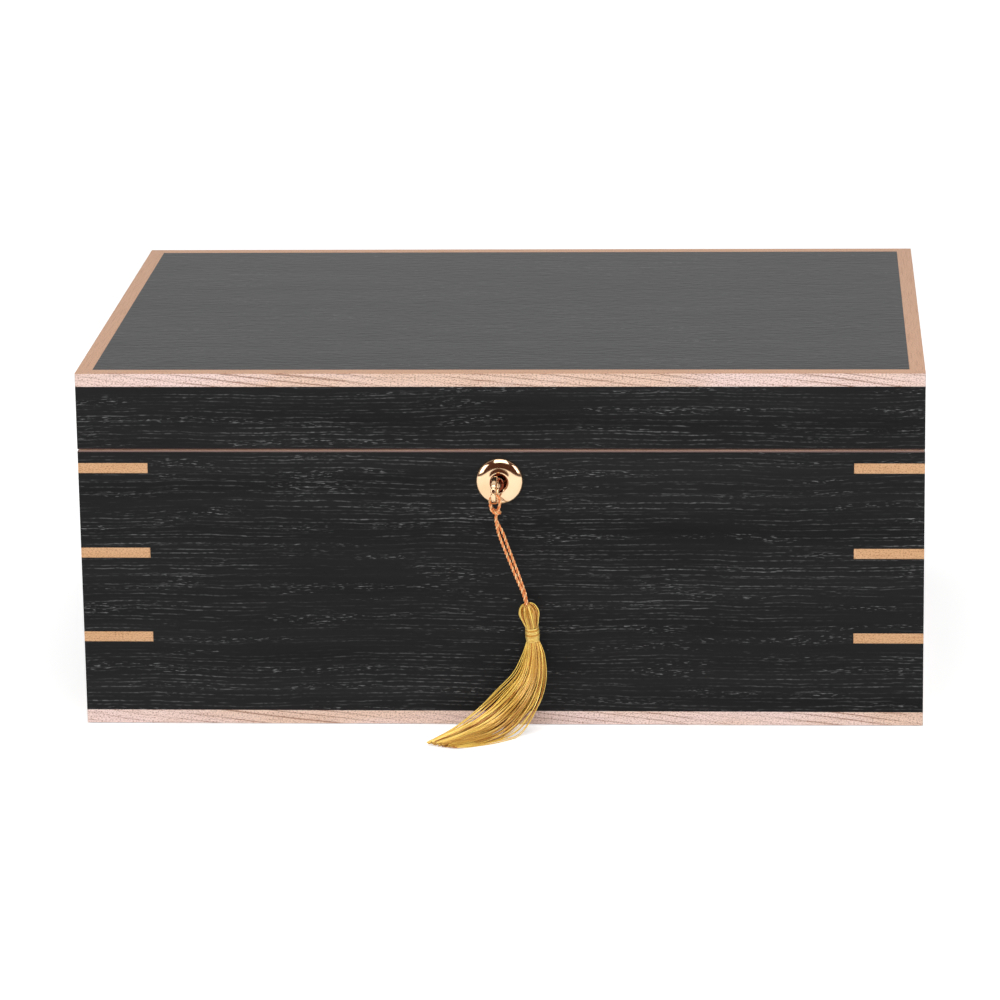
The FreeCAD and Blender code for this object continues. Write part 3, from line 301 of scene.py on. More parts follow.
STRIP_MAPLE = (linear(245, 219, 212), linear(236, 204, 184), linear(150, 108, 88))  # pale, warm and specks
# The strips' upper face below is painted shade: darker and more orange, as the top is lit less than the
# front.
STRIP_TOP_SHADED = linear(206, 158, 124)
SPLINE_MAPLE = (linear(222, 178, 138), linear(216, 168, 124), linear(160, 108, 66))
RIM_MAPLE = (linear(222, 190, 166), linear(212, 178, 152), linear(176, 136, 110))
# Painted shade: the rims' outer faces are darker for the shade in the gap between lid and base, the lid's
# darker still, and a dark line marks the lid rim's edge that faces down.
RIM_GAP_SHADE = linear(122, 98, 92)
LID_RIM_GAP_SHADE = linear(98, 76, 71)
RIM_SHADE_LINE = linear(50, 30, 28)
RIM_FIGURE = 0.25
RIM_OUT = (175 * MM, 124 * MM)
# Above this height the lid's rim is painted with a dark line of shade, for its edge that faces down.
RIM_SHADE_LINE_FROM = 118.85 * MM  # the height above which the lid's rim shows as a dark line
GAP_SHADE_FROM, GAP_SHADE_TO = -0.5 * MM, -0.3 * MM  # both lie inwards from the rim's outside
LID_TOP = 151 * MM
FRAME_CORNER = (0.155, 0.105)  # a point of the line along which a frame's strips meet
GROWTH_PITCH = 2.8 * MM
GROWTH_BEND = 8 * MM
GROWTH_SLANT = 0.13
MAPLE_GRAIN = 0.02 * MM
MAPLE_EDGE = 0.4 * MM


def along_grain(shader, turn, corner=None):
    """Distance along the grain, across it, and height.

    With a corner, a frame's strips each follow their own side."""
    x, y, z = shader.axes(shader.place(turn=turn))
    if corner is None:
        return x, y + z, z
    beyond = x.math("ABSOLUTE") - corner[0] - y.math("ABSOLUTE") + corner[1]
    on_side = beyond.math("GREATER_THAN", 0)
    return x + on_side * (y - x), y + on_side * (x - y) + z, z


def maple(name, pale, warm, speck, turn=0, corner=None, upper=None, figure=0.7):
    """Patches of a paler and a warmer tone, growth lines aslant in places, and fine specks.

    The figure is the strength of the growth lines. An upper face given a darker, more orange tone of painted
    shade, for the lesser light on the top, shows them less."""
    wood = Shader(bpy.data.materials.new(name))
    along, across, height = along_grain(wood, turn, corner)
    patch = wood.rise(wood.noise(wood.joined(along * 14, across * 60, 1), 2), 0.35, 0.65)
    bend = wood.noise(wood.joined(along * 9, 2), 1)
    growth = (across + along * GROWTH_SLANT + bend * GROWTH_BEND) / GROWTH_PITCH
    growth = growth + wood.noise(wood.joined(growth * 0.6, 9), 1) * 1.6
    near = (growth - growth.math("FLOOR") - 0.5).math("ABSOLUTE")
    lines = wood.rise(near, 0.16, 0.02) * wood.rise(wood.noise(wood.joined(along * 8, 5), 1), 0.42, 0.55)
    fine = wood.noise(wood.joined(along * 1300, across * 2400), 2, 0.6)
    hair = wood.noise(wood.joined(along * 60, across * 1600, 4), 2)
    face = wood.mix(patch, pale, warm)
    lines = lines * figure
    # The upper face's own tone is painted shade, for the lesser light that falls on the top.
    if upper is not None:
        top_shade_mask = wood.rise(height, LID_TOP - 0.3 * MM, LID_TOP - 0.05 * MM)
        face = wood.mix(top_shade_mask, face, upper)
        lines = lines * (1 - top_shade_mask * 0.8)
    specks = wood.rise(fine, 0.48, 0.66) * 0.7 + wood.rise(hair, 0.5, 0.75) * 0.3 + lines
    dress(wood, Base_Color=wood.mix(specks.math("MINIMUM", 1), face, speck))
    dress(wood, Roughness=hair * 0.2 + 0.35, Specular_IOR_Level=0.25)
    return dress(wood, Normal=wood.bump(fine, MAPLE_GRAIN, wood.soft_edge(MAPLE_EDGE)))


def rim_maple(name, gap_shade, shade_line_from=None):
    """Maple of the rims: bare on its level face, and darker where it shows outside, as painted shade for the
    gap between lid and base.

    With the height of a line, the outside above it is a dark line, painted shade for the edge of the lid's
    rim that faces down."""
    rim = Shader(maple(name, *RIM_MAPLE, corner=FRAME_CORNER, figure=RIM_FIGURE))
    x, y, height = rim.axes(rim.place())
    # Beyond the rim's outside the colour is painted shade for the gap at the seam.
    beyond = (x.math("ABSOLUTE") - RIM_OUT[0]).math("MAXIMUM", y.math("ABSOLUTE") - RIM_OUT[1])
    bare = Value(rim, rim.tree.nodes["Principled BSDF"].inputs["Base Color"].links[0].from_socket)
    if shade_line_from is not None:
        gap_shade = rim.mix(rim.rise(height, shade_line_from - 0.05 * MM, shade_line_from + 0.05 * MM), gap_shade, RIM_SHADE_LINE)
    return dress(rim, Base_Color=rim.mix(rim.rise(beyond, GAP_SHADE_FROM, GAP_SHADE_TO), bare, gap_shade))


wear(maple("maple_long", *STRIP_MAPLE), "plinth_long_strips")
wear(maple("maple_short", *STRIP_MAPLE, QUARTER_TURN), "plinth_short_strips")
wear(maple("maple_edge_long", *STRIP_MAPLE, upper=STRIP_TOP_SHADED), "lid_edge_long_strips")
wear(maple("maple_edge_short", *STRIP_MAPLE, QUARTER_TURN, upper=STRIP_TOP_SHADED), "lid_edge_short_strips")
# Both rims carry painted shade on their outer faces, for the gap at the seam.
wear(rim_maple("maple_rim", RIM_GAP_SHADE), "base_banding")
wear(rim_maple("maple_rim_lid", LID_RIM_GAP_SHADE, RIM_SHADE_LINE_FROM), "lid_banding")
wear(maple("maple_spline", *SPLINE_MAPLE, figure=0), "corner_splines")

# The escutcheon: a round of polished brass, domed, with a raised lip and a funnel that leads the key in.
# A short sleeve behind it sits in the front board, and the key goes through to the lock.

KEY_LEVEL = 105.3
DOME = [  # distance out of the middle of the chest, and radius
    (124.0, 9.75), (124.6, 9.72), (125.05, 9.45), (125.5, 8.95), (125.95, 8.1), (126.3, 7.1), (126.5, 6.0),
]
FUNNEL = [
    (126.55, 5.0), (126.75, 4.65), (126.8, 4.3), (126.55, 3.85), (126.0, 3.4), (125.2, 3.0), (124.8, 2.8),
]
HOLE_RADIUS = 2.8
HOLE_START = [(124.4, HOLE_RADIUS)]
SLOT_SHARE = (0, 0.1, 0.3, 0.8, 0.9, 1, 1, 1)  # how near each row, from the funnel on, is to the keyhole
SLEEVE = [(124.4, 4.3), (121.0, 4.3), (121.0, 4.9), (124.0, 4.9)]
SLOT_HALF_WIDTH = 1.5
SLOT_REACH = 4.3
TURN_STEPS = 128
NEARLY_NOTHING = 1e-6
POLISHED_BRASS = (linear(240, 208, 170), linear(230, 190, 148), 0.1)  # bright, dulled and roughness
POLISH_DEPTH = 0.002 * MM
METAL_EDGE = 0.2 * MM


def from_front(points, middle=(0, 0, 0)):
    """Points of a form whose Z is the way out of the chest's front, set upright in the chest."""
    x, y, z = np.moveaxis(np.asarray(points, float), -1, 0)
    return np.stack([x, -z, y], -1) + middle


def grid_faces(rows, columns, closed=False):
    """Quads of a grid whose columns go right round; a closed grid joins its last row to its first."""
    row = np.arange(rows if closed else rows - 1)[:, None]
    column = np.arange(columns)[None]
    after = (row + 1) % rows * columns
    beside = (column + 1) % columns
    quads = [row * columns + column, row * columns + beside, after + beside, after + column]
    return np.stack(quads, -1).reshape(-1, 4).tolist()


def piece(name, points, faces, material, body, *nodes, crease=40):
    """A piece of points in millimetres that rides on a body and stands for CAD nodes."""
    mesh = bpy.data.meshes.new(name)
    mesh.from_pydata((np.asarray(points).reshape(-1, 3) * MM).tolist(), [], faces)
    mesh.materials.append(material)
    mesh.shade_smooth()
    mesh.set_sharp_from_angle(angle=math.radians(crease))
    made = bpy.data.objects.new(name, mesh)
    bpy.context.scene.collection.objects.link(made)
    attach(made, body)
    if nodes:
        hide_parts(*nodes)
    return made


def metal(name, colour, deep, roughness, painted_shade=None):
    """Metal with faint clouding in its polish and a slightly deeper colour where it has dulled.

    With a painted shade, which is a colour and two places along Y, it turns that colour from the first place
    to the second."""
    shader = Shader(bpy.data.materials.new(name))
    cloud = shader.noise(shader.place((900, 900, 900)), 4, 0.6)
    haze = shader.noise(shader.place((60, 60, 60)), 2)
    base = shader.mix(shader.rise(haze, 0.35, 0.75), colour, deep)
    if painted_shade is not None:
        base = shader.mix(shader.rise(shader.axes(shader.place())[1], *painted_shade[1:]), base, painted_shade[0])
    dress(shader, Base_Color=base, Metallic=1)
    dress(shader, Roughness=cloud * roughness + haze * roughness * 0.5 + roughness * 0.3)
    return dress(shader, Normal=shader.bump(cloud, POLISH_DEPTH, shader.soft_edge(METAL_EDGE)))


# The keyhole is a round hole with a slot below it. At each angle its radius is the hole's, or the slot's
# where that is more: half the slot's width over the cosine, or its reach over the sine, whichever is less.

polished_brass = metal("brass_polished", *POLISHED_BRASS)
plate_turn = np.linspace(0, 2 * np.pi, TURN_STEPS, endpoint=False)
slot_side = SLOT_HALF_WIDTH / np.maximum(np.abs(np.cos(plate_turn)), NEARLY_NOTHING)
slot_end = SLOT_REACH / np.abs(np.sin(plate_turn) - NEARLY_NOTHING)
slot = np.where(np.sin(plate_turn) < 0, np.minimum(slot_side, slot_end), 0)
keyhole = np.maximum(HOLE_RADIUS, slot)
plate_rows = np.array(DOME + FUNNEL + HOLE_START + SLEEVE)
to_hole = np.zeros((len(plate_rows), 1))
to_hole[len(DOME):len(DOME) + len(SLOT_SHARE), 0] = SLOT_SHARE
plate_radius = plate_rows[:, 1:] * (1 - to_hole) + keyhole * to_hole
plate_out = np.broadcast_to(plate_rows[:, :1], plate_radius.shape)
plate_form = [plate_radius * np.cos(plate_turn), plate_radius * np.sin(plate_turn), plate_out]
plate = piece("escutcheon_plate", from_front(np.stack(plate_form, -1), (0, 0, KEY_LEVEL)),
              grid_faces(*plate_radius.shape, closed=True), polished_brass, "base", "escutcheon", crease=50)

# The lock behind the front board, with its screws, drum, bolt and spring, and the lid's link plate.
# They are plain brass, the bolt polished and the spring steel; the drum is a dark reddish colour, painted
# shade for the dark keyhole it is seen through.

brass = metal("brass_plain", linear(214, 178, 112), linear(190, 150, 88), 0.3)
wear(brass, "lock_case", "lock_selvedge", "lock_screws", "link_plate", "link_screws")
# The drum's dark reddish colour is painted shade: it is seen only through the dark keyhole.
wear(metal("brass_keyhole_shade", linear(150, 92, 58), linear(120, 66, 40), 0.25), "lock_drum")
wear(polished_brass, "lock_bolt")
wear(metal("steel_spring", linear(150, 152, 156), linear(112, 116, 124), 0.28), "lock_spring")

# The key: cast and polished brass, with an oval bow seen edge on, a turned shank with a collar, and a bit.
# Two grooves round the bow's near limb leave a bead between them. The shank is darker and reddish from the
# collar inwards: painted shade for the dark keyhole it goes into.

KEY_LEAN = math.radians(-2.2)
KEY_MIDDLE = (0, -112.25, KEY_LEVEL)
BOW_MIDDLE = 26.75
BOW_LONG, BOW_TALL = 6.4, 4.6
BOW_LIMB = 1.1
BOW_STEPS, LIMB_STEPS = 200, 32
GROOVES = (0.5, 0.04)  # where they lie, as angles round the bow
GROOVE_DEPTH = 0.4
GROOVE_WIDTH = 0.055
LIMB_SQUARENESS = 0.55  # 1 is a round limb, and less has flatter flanks
SHANK = [  # distance out of the lock's middle, and radius
    (-1.35, 1.6), (-1.15, 1.9), (14.2, 1.9), (14.5, 2.25), (14.9, 2.4), (15.3, 2.25), (15.6, 1.95),
    (16.5, 1.95),
]
COLLAR = [
    (16.75, 2.6), (17.0, 2.9), (18.0, 2.9), (18.25, 2.6), (18.5, 2.0), (19.3, 1.8), (20.0, 1.5),
    (20.35, 1.0),
]
BIT_LOW, BIT_HIGH = (-0.7, -4.1, -1.35), (0.7, 0, 2.65)
BIT_ROUND = 0.2
# The shank's colour from the collar inwards is painted shade for the dark keyhole round it.
SHANK_PAINTED_SHADE = (linear(112, 52, 32), -133.0 * MM, -131.4 * MM)


def capped(rows, columns):
    """A grid's quads, and one face at each end that closes it."""
    last = (rows - 1) * columns
    return grid_faces(rows, columns) + [list(range(columns))[::-1], list(range(last, last + columns))]


def turned(outline, steps=48):
    """A form turned about Z, closed at both ends: each row is a distance along Z and a radius."""
    outline = np.array(outline, float)
    turn = np.linspace(0, 2 * np.pi, steps, endpoint=False)
    along = np.broadcast_to(outline[:, :1], (len(outline), steps))
    rings = np.stack([outline[:, 1:] * np.cos(turn), outline[:, 1:] * np.sin(turn), along], -1)
    return rings, capped(len(outline), steps)


def block(low, high, rounding, steps=4):
    """A rounded block: a ball's points, pushed apart by quarters and halves until they reach its faces."""
    low, high = np.array(low, float), np.array(high, float)
    half = (high - low) / 2 - rounding
    around = (np.linspace(0, np.pi / 2, steps) + np.arange(4)[:, None] * np.pi / 2).ravel()
    climb = np.linspace(0, 1.5, steps)
    climb = np.concatenate([-climb[::-1], climb])[:, None]
    x_side, y_side = np.repeat([[1, 1], [-1, 1], [-1, -1], [1, -1]], steps, axis=0).T
    x = x_side * half[0] + rounding * np.cos(climb) * np.cos(around)
    y = y_side * half[1] + rounding * np.cos(climb) * np.sin(around)
    z = np.repeat([-1, 1], steps)[:, None] * half[2] + rounding * np.sin(climb) + 0 * x
    return np.stack([x, y, z], -1) + (low + high) / 2, capped(*x.shape)


def together(*forms):
    """Several forms, each points and faces, as one list of points and one of faces."""
    points, faces, count = [], [], 0
    for form, form_faces in forms:
        form = np.asarray(form).reshape(-1, 3)
        points.append(form)
        faces += [[corner + count for corner in face] for face in form_faces]
        count += len(form)
    return np.concatenate(points), faces


def leaned(points):
    """Points in the key's own measure, out of the front from the lock's middle, turned with the key."""
    x, y, z = np.moveaxis(from_front(points), -1, 0)
    cos, sin = math.cos(KEY_LEAN), math.sin(KEY_LEAN)
    return np.stack([x * cos - y * sin, x * sin + y * cos, z], -1) + KEY_MIDDLE


# The bow is an oval ring. At each angle along it a limb of rounded section stands square to the oval,
# thinner in the grooves, where it loses a depth that falls off by the fourth power of the distance.

bow_along = np.linspace(-np.pi, np.pi, BOW_STEPS, endpoint=False)[:, None]
cuts = [GROOVE_DEPTH * np.exp(-((bow_along - groove) / GROOVE_WIDTH) ** 4) for groove in GROOVES]
thick = BOW_LIMB - sum(cuts)
limb_turn = np.linspace(0, 2 * np.pi, LIMB_STEPS, endpoint=False)
limb_waves = (np.cos(limb_turn), np.sin(limb_turn))
limb_out, limb_side = (np.sign(wave) * np.abs(wave) ** LIMB_SQUARENESS for wave in limb_waves)
bow_up, bow_ahead = np.sin(bow_along), np.cos(bow_along)
square = np.hypot(bow_up / BOW_TALL, bow_ahead / BOW_LONG)
bow = np.stack([
    thick * limb_side,
    BOW_TALL * bow_up + thick * limb_out * bow_up / BOW_TALL / square,
    BOW_MIDDLE + BOW_LONG * bow_ahead + thick * limb_out * bow_ahead / BOW_LONG / square,
], -1)
bow_form = (leaned(bow), grid_faces(*bow.shape[:2], closed=True))
shank, shank_faces = turned(SHANK + COLLAR)
bit, bit_faces = block(BIT_LOW, BIT_HIGH, BIT_ROUND)
# The key's polished brass, with painted shade on the shank.
shank_shaded_brass = metal("brass_shank_shade", *POLISHED_BRASS, SHANK_PAINTED_SHADE)
key = piece("key_brass", *together(bow_form, (leaned(shank), shank_faces), (leaned(bit), bit_faces)),
            shank_shaded_brass, "key", "key")

# The cord: one length of orange cord, twisted from two strands, doubled and hitched to the key's bow.
# Both of its ends go into the tassel's head, so the whole of it is seen.

LIMB = np.array([-1.0268739, -138.98028, 100.7])  # middle of the bow's lower limb, where the hitch sits
CORD_THICK = 1.3
CORD_LENGTH = 130.4
CORD_RINGS = 560
STRANDS = 2
STRAND_LAY = 3.4  # length of one whole twist
STRAND_SIDES = 8
STRAND_SWELL = 1.04  # each strand is a little thicker than its room, so they press together
CORD_ORANGE = (linear(255, 168, 98), linear(236, 136, 70), linear(255, 216, 158))  # hairs, deep and bright
CORD_HAIRS = 2600  # how many there are in a metre
HAIR_DEPTH = 0.03 * MM
# Points on the cord's way, from the limb: up the middle between the legs, and round one half of the hitch.
LEG = [(12.23, 5.78, -47.1), (11.63, 5.38, -42.4), (10.13, 4.68, -37.7), (8.33, 3.98, -32.6),
       (6.03, 2.98, -25.9), (3.73, 1.88, -19.2), (1.93, 0.78, -13.4)]
LEG_GAP = [(0.15, 0.66, 0), (0.25, 0.62, 0.05), (0.45, 0.5, 0.12), (0.65, 0.3, 0.18),
           (0.78, 0.12, 0.2), (0.85, 0.12, 0.2), (0.95, 0.12, 0.2)]  # from the legs' middle to each leg
HITCH = [(0.15, 0.72, -8.3), (0.5, 0.72, -4.9), (1.98, 0.72, -2.2), (1.98, 0.72, 1.98),
         (-1.98, 0.72, 1.98), (-1.98, 0.72, -2.0), (-1.0, 2.1, -4.3), (2.0, 2.1, -4.9)]


def spline_points(name, points):
    """The points of a NURBS spline of order 3 through its ends, as Blender gives them for a plain curve."""
    curve = bpy.data.curves.new(name, "CURVE")
    curve.dimensions = "3D"
    curve.resolution_u = 16
    spline = curve.splines.new("NURBS")
    spline.points.add(len(points) - 1)
    for point, place in zip(spline.points, points):
        point.co = (*place, 1)
    spline.order_u = 3
    spline.use_endpoint_u = True
    line = bpy.data.objects.new(name, curve)
    mesh = bpy.data.meshes.new_from_object(line)
    found = np.empty(len(mesh.vertices) * 3)
    mesh.vertices.foreach_get("co", found)
    bpy.data.objects.remove(line)
    return found.reshape(-1, 3)


def evenly(line, count):
    """Points at equal distances along a line of points."""
    reach = np.concatenate([[0], np.linalg.norm(np.diff(line, axis=0), axis=1).cumsum()])
    at = np.linspace(0, reach[-1], count)
    return np.stack([np.interp(at, reach, column) for column in line.T], -1)


def arms_along(lines):
    """Two arms square to each line at each of its points, turned from point to point as little as may be."""
    step = np.gradient(lines, axis=1)
    step /= np.linalg.norm(step, axis=2, keepdims=True)
    first = np.empty_like(step)
    arm = np.cross(step[:, 0], (0.31, 0.87, 0.38))
    for ring in range(step.shape[1]):
        arm = arm - step[:, ring] * (arm * step[:, ring]).sum(1, keepdims=True)
        arm = arm / np.linalg.norm(arm, axis=1, keepdims=True)
        first[:, ring] = arm
    return first, np.cross(step, first)


def tubes(lines, radius, sides):
    """Round tubes along many lines at once, closed at their ends.

    Each point is its line's, plus the radius times the cosine of the turn along the first arm and times the
    sine along the second."""
    count, rings = lines.shape[:2]
    first, second = arms_along(lines)
    turn = np.linspace(0, 2 * np.pi, sides, endpoint=False)[:, None]
    ring_arms = first[:, :, None] * np.cos(turn) + second[:, :, None] * np.sin(turn)
    points = lines[:, :, None] + ring_arms * np.broadcast_to(radius, (count, rings))[:, :, None, None]
    quads = np.array(grid_faces(rings, sides))
    ends = np.array([np.arange(sides)[::-1], np.arange(sides) + (rings - 1) * sides])
    starts = np.arange(count)[:, None, None] * rings * sides
    return points, (quads + starts).reshape(-1, 4).tolist() + (ends + starts).reshape(-1, sides).tolist()


def thread_map(made, count, rings, sides, length):
    """A UV map for tubes, which come first in the mesh: millimetres along each thread, and its number."""
    place = np.zeros((len(made.data.vertices), 2))
    along = np.broadcast_to(np.linspace(0, length, rings)[:, None], (count, rings, sides))
    number = np.broadcast_to(np.arange(count)[:, None, None], (count, rings, sides))
    place[:along.size] = np.stack([along, number], -1).reshape(-1, 2)
    corners = np.empty(len(made.data.loops), int)
    made.data.loops.foreach_get("vertex_index", corners)
    layer = made.data.uv_layers.new(name="thread")
    layer.data.foreach_set("uv", place[corners].ravel())


def thread(name, colour, deep, bright, hairs):
    """Silky thread: each one has a shade of its own between deep and bright, hairs of a colour over it,
    and a glossy skin."""
    silk = Shader(bpy.data.materials.new(name))
    along, number = silk.axes(silk.node("ShaderNodeUVMap", {"uv_map": "thread"}))[:2]
    drift = silk.noise(silk.joined(along * 0.12, number * 3.1), 2)
    hair = silk.noise(silk.place((hairs, hairs, hairs)), 2)
    shade = silk.mix(silk.rise(silk.chance(number) * 0.7 + drift * 0.3, 0.22, 0.68), deep, bright)
    base = silk.mix(silk.rise(hair, 0.3, 0.7) * 0.4, shade, colour)
    dress(silk, Base_Color=base, Roughness=hair * 0.2 + 0.24, Specular_IOR_Level=0.5, Metallic=0.35)
    dress(silk, Coat_Weight=0.3, Coat_Roughness=0.2, Coat_IOR=1.7)
    return dress(silk, Normal=silk.bump(hair, HAIR_DEPTH))


cord_silk = thread("cord_orange", *CORD_ORANGE, CORD_HAIRS)
front_half = [(x, -y, z) for x, y, z in HITCH]
one_leg = np.array(LEG) - LEG_GAP
other_leg = np.array(LEG) + LEG_GAP
route = np.array([*one_leg, *front_half, *HITCH[::-1], *other_leg[::-1]]) + LIMB
cord_line = spline_points("cord_line", route * MM) / MM
cord_middle = evenly(cord_line, CORD_RINGS)[None]
cord_first, cord_second = arms_along(cord_middle)
strand_thick = CORD_THICK / 2 / (1 + 1 / math.sin(math.pi / STRANDS))
strand_starts = np.arange(STRANDS)[:, None] * 2 * np.pi / STRANDS
twist = np.linspace(0, 2 * np.pi * CORD_LENGTH / STRAND_LAY, CORD_RINGS) + strand_starts
off_line = cord_first * np.cos(twist)[:, :, None] + cord_second * np.sin(twist)[:, :, None]
strand_lines = cord_middle + off_line * (CORD_THICK / 2 - strand_thick)
strand_points, strand_faces = tubes(strand_lines, strand_thick * STRAND_SWELL, STRAND_SIDES)
cord = piece("cord_strands", strand_points, strand_faces, cord_silk, "tassel", "tassel_cord")
thread_map(cord, STRANDS, CORD_RINGS, STRAND_SIDES, CORD_LENGTH)

# The tassel's head: gold threads that come up out of its middle, loop over and lie down its sides.
# They lie over a core of the same thread, and the binding holds them at the neck.

rng = np.random.default_rng(7)
HEAD_TOP = LIMB + (12.23, 5.78, -45.1)
NECK_TOP = LIMB + (14.13, 6.38, -55.4)
NECK_END = LIMB + (14.43, 6.98, -61.6)
HEAD_OUTLINE = [  # share of the way from the head's top to the neck, and distance from the line between them
    (0.24, 0.8), (0.1, 0.95), (0.04, 1.45), (0.08, 2.3),
    (0.19, 3.1), (0.43, 3.75), (0.76, 3.1), (1.02, 2.45),
]
HEAD_CORE = [(0.16, 0.6), (0.15, 1.4), (0.22, 2.1), (0.43, 2.8), (0.76, 2.3), (1.0, 2.0)]
CORE_SIDES = 32
GOLD = (linear(255, 182, 58), linear(156, 84, 6), linear(255, 228, 116))
GOLD_HAIRS = 3200
HEAD_THREADS = 36
HEAD_RINGS = 40
HEAD_THREAD_LENGTH = 14
HEAD_SCATTER = 0.05  # unevenness of the threads' places round the head
HEAD_SWAY = 0.32  # how far round a thread may wander half way down
HEAD_STAND_OFF = (-0.14, 0.12)  # how far in or out it may lie there, as a share
HEAD_THREAD_THICK = (0.14, 0.34)
THREAD_SIDES = 6


def through(stations, count):
    """A smooth line through stations, which run along the first axis.

    Between two of them it is the cubic whose slope at each is half the step between its two neighbours."""
    stations = np.asarray(stations, float)
    ends = [2 * stations[:1] - stations[1:2], stations, 2 * stations[-1:] - stations[-2:-1]]
    padded = np.concatenate(ends)
    at = np.linspace(0, len(stations) - 1, count)
    start = np.minimum(at.astype(int), len(stations) - 2)
    t = (at - start).reshape(-1, *[1] * (stations.ndim - 1))
    before, here, there, beyond = (padded[start + shift] for shift in range(4))
    curve = 2 * here + (there - before) * t + (2 * before - 5 * here + 4 * there - beyond) * t ** 2
    return (curve + (3 * here - before - 3 * there + beyond) * t ** 3) / 2


def about(top, end, share, radius, turn):
    """Points round the line from top to end: a share of the way along it, and a radius out at an angle."""
    axis = end - top
    across = np.cross((0, 1, 0), axis)
    across /= np.linalg.norm(across)
    through_it = np.cross(axis, across)
    through_it /= np.linalg.norm(through_it)
    share, radius, turn = (np.asarray(value)[..., None] for value in (share, radius, turn))
    return top + axis * share + radius * (across * np.cos(turn) + through_it * np.sin(turn))


gold_silk = thread("thread_gold", *GOLD, GOLD_HAIRS)
head_share, head_radius = through(HEAD_OUTLINE, HEAD_RINGS).T
half_way = np.sin(np.linspace(0, np.pi, HEAD_RINGS))
one_each = (HEAD_THREADS, 1)
head_turn = np.arange(HEAD_THREADS)[:, None] * 2 * np.pi / HEAD_THREADS
head_turn = head_turn + rng.uniform(-HEAD_SCATTER, HEAD_SCATTER, one_each)
sway = rng.uniform(-HEAD_SWAY, HEAD_SWAY, one_each) * half_way
stand_off = 1 + rng.uniform(*HEAD_STAND_OFF, one_each) * half_way
head_lines = about(HEAD_TOP, NECK_TOP, head_share + 0 * head_turn, head_radius * stand_off, head_turn + sway)
head_thread_radius = np.clip(np.pi * head_radius / HEAD_THREADS, *HEAD_THREAD_THICK)
core_turn = -np.linspace(0, 2 * np.pi, CORE_SIDES, endpoint=False)
core_share, core_radius = (column[:, None] + 0 * core_turn for column in np.array(HEAD_CORE).T)
core = about(HEAD_TOP, NECK_TOP, core_share, core_radius, core_turn)
head_form = tubes(head_lines, head_thread_radius, THREAD_SIDES)
head = piece("tassel_head_threads", *together(head_form, (core, capped(len(HEAD_CORE), CORE_SIDES))),
             gold_silk, "tassel", "tassel_head")
thread_map(head, HEAD_THREADS, HEAD_RINGS, THREAD_SIDES, HEAD_THREAD_LENGTH)

# The binding: paler gold thread wound level round the tassel's neck, turn beside turn.
# It holds the looped threads of the head and the cut threads of the fringe.

PALE_GOLD = (linear(248, 192, 88), linear(206, 142, 44), linear(255, 230, 138))
BINDING_TURNS = 9
BINDING_THREAD = 0.33
BINDING_THREAD_LENGTH = 17
BINDING_RINGS = 27
BINDING_OVERLAP = 1.02  # how far round each turn's tube goes, so that it meets the next
BINDING_RADIUS = 2.5
BINDING_SWELL = 0.14
BINDING_SCATTER = 0.05
BINDING_MARGIN = 0.02  # share of the neck that is left bare at either end
BINDING_SIDES = 8

round_neck = np.linspace(0, BINDING_OVERLAP, BINDING_RINGS)
wound = (np.arange(BINDING_TURNS)[:, None] + round_neck) / BINDING_TURNS
wound_radius = BINDING_RADIUS + BINDING_SWELL * np.sin(np.pi * wound)
wound_radius = wound_radius + rng.uniform(-BINDING_SCATTER, BINDING_SCATTER, (BINDING_TURNS, 1))
wound_share = wound * (1 - 2 * BINDING_MARGIN) + BINDING_MARGIN
winding = about(NECK_TOP, NECK_END, wound_share, wound_radius, wound * 2 * np.pi * BINDING_TURNS)
pale_gold = thread("thread_pale_gold", *PALE_GOLD, GOLD_HAIRS)
binding = piece("tassel_binding_thread", *tubes(winding, BINDING_THREAD, BINDING_SIDES),
                pale_gold, "tassel", "tassel_binding")
thread_map(binding, BINDING_TURNS, BINDING_RINGS, BINDING_SIDES, BINDING_THREAD_LENGTH)

# The fringe: cut gold threads that fall from the binding, sweep aside and end on the surface.
# They gather in locks, and a few stray from the rest.

FRINGE_STATIONS = [  # from the bow's limb: middle of the skirt, its half breadth and its half depth
    ((14.46, 6.98, -61.3), (2.6, 0, 0.05), (0, 2.6, 0.25)),
    ((14.82, 6.6, -67.8), (4.1, 0, -0.3), (0, 3.6, 0)),
    ((13.08, 5.8, -77.1), (5.7, 0, -1.5), (0, 4.2, 0.3)),
    ((7.85, 4.2, -86.1), (7.1, -0.5, -3.1), (0, 4.6, -0.2)),
    ((-0.36, 0.2, -94.3), (6.9, -1.5, -4.2), (0.6, 4.6, -0.6)),
    ((-10.5, -8.0, -98.2), (6.8, -2.2, -2.7), (1.0, 3.4, -1.2)),
    ((-22.9, -17.0, -99.7), (6.8, -2.7, -0.2), (0.2, 0.6, -0.9)),
]
FRINGE_THREADS = 170
FRINGE_RINGS = 34
FRINGE_THICK = 0.21
FRINGE_LENGTH = 50
FRINGE_SKIN = 0.1  # every other thread lies in this outer share of the bundle
BUNDLE = 0.9
LEFT_HOLLOW = 0.24  # how far the bundle keeps in from the line of its left strays
LOCKS = 17
LOCK_GATHER = 0.75
WAVER_OUT, ENDS_OUT = 0.07, 0.1  # how far threads stray in and out, on their way and towards their ends
WAVER_ROUND, ENDS_ROUND = 0.06, 0.35  # and round the bundle
SHORTEST_END = 0.86  # the cut threads' last stretch, as a share of the longest
LYING_GAP = 0.02
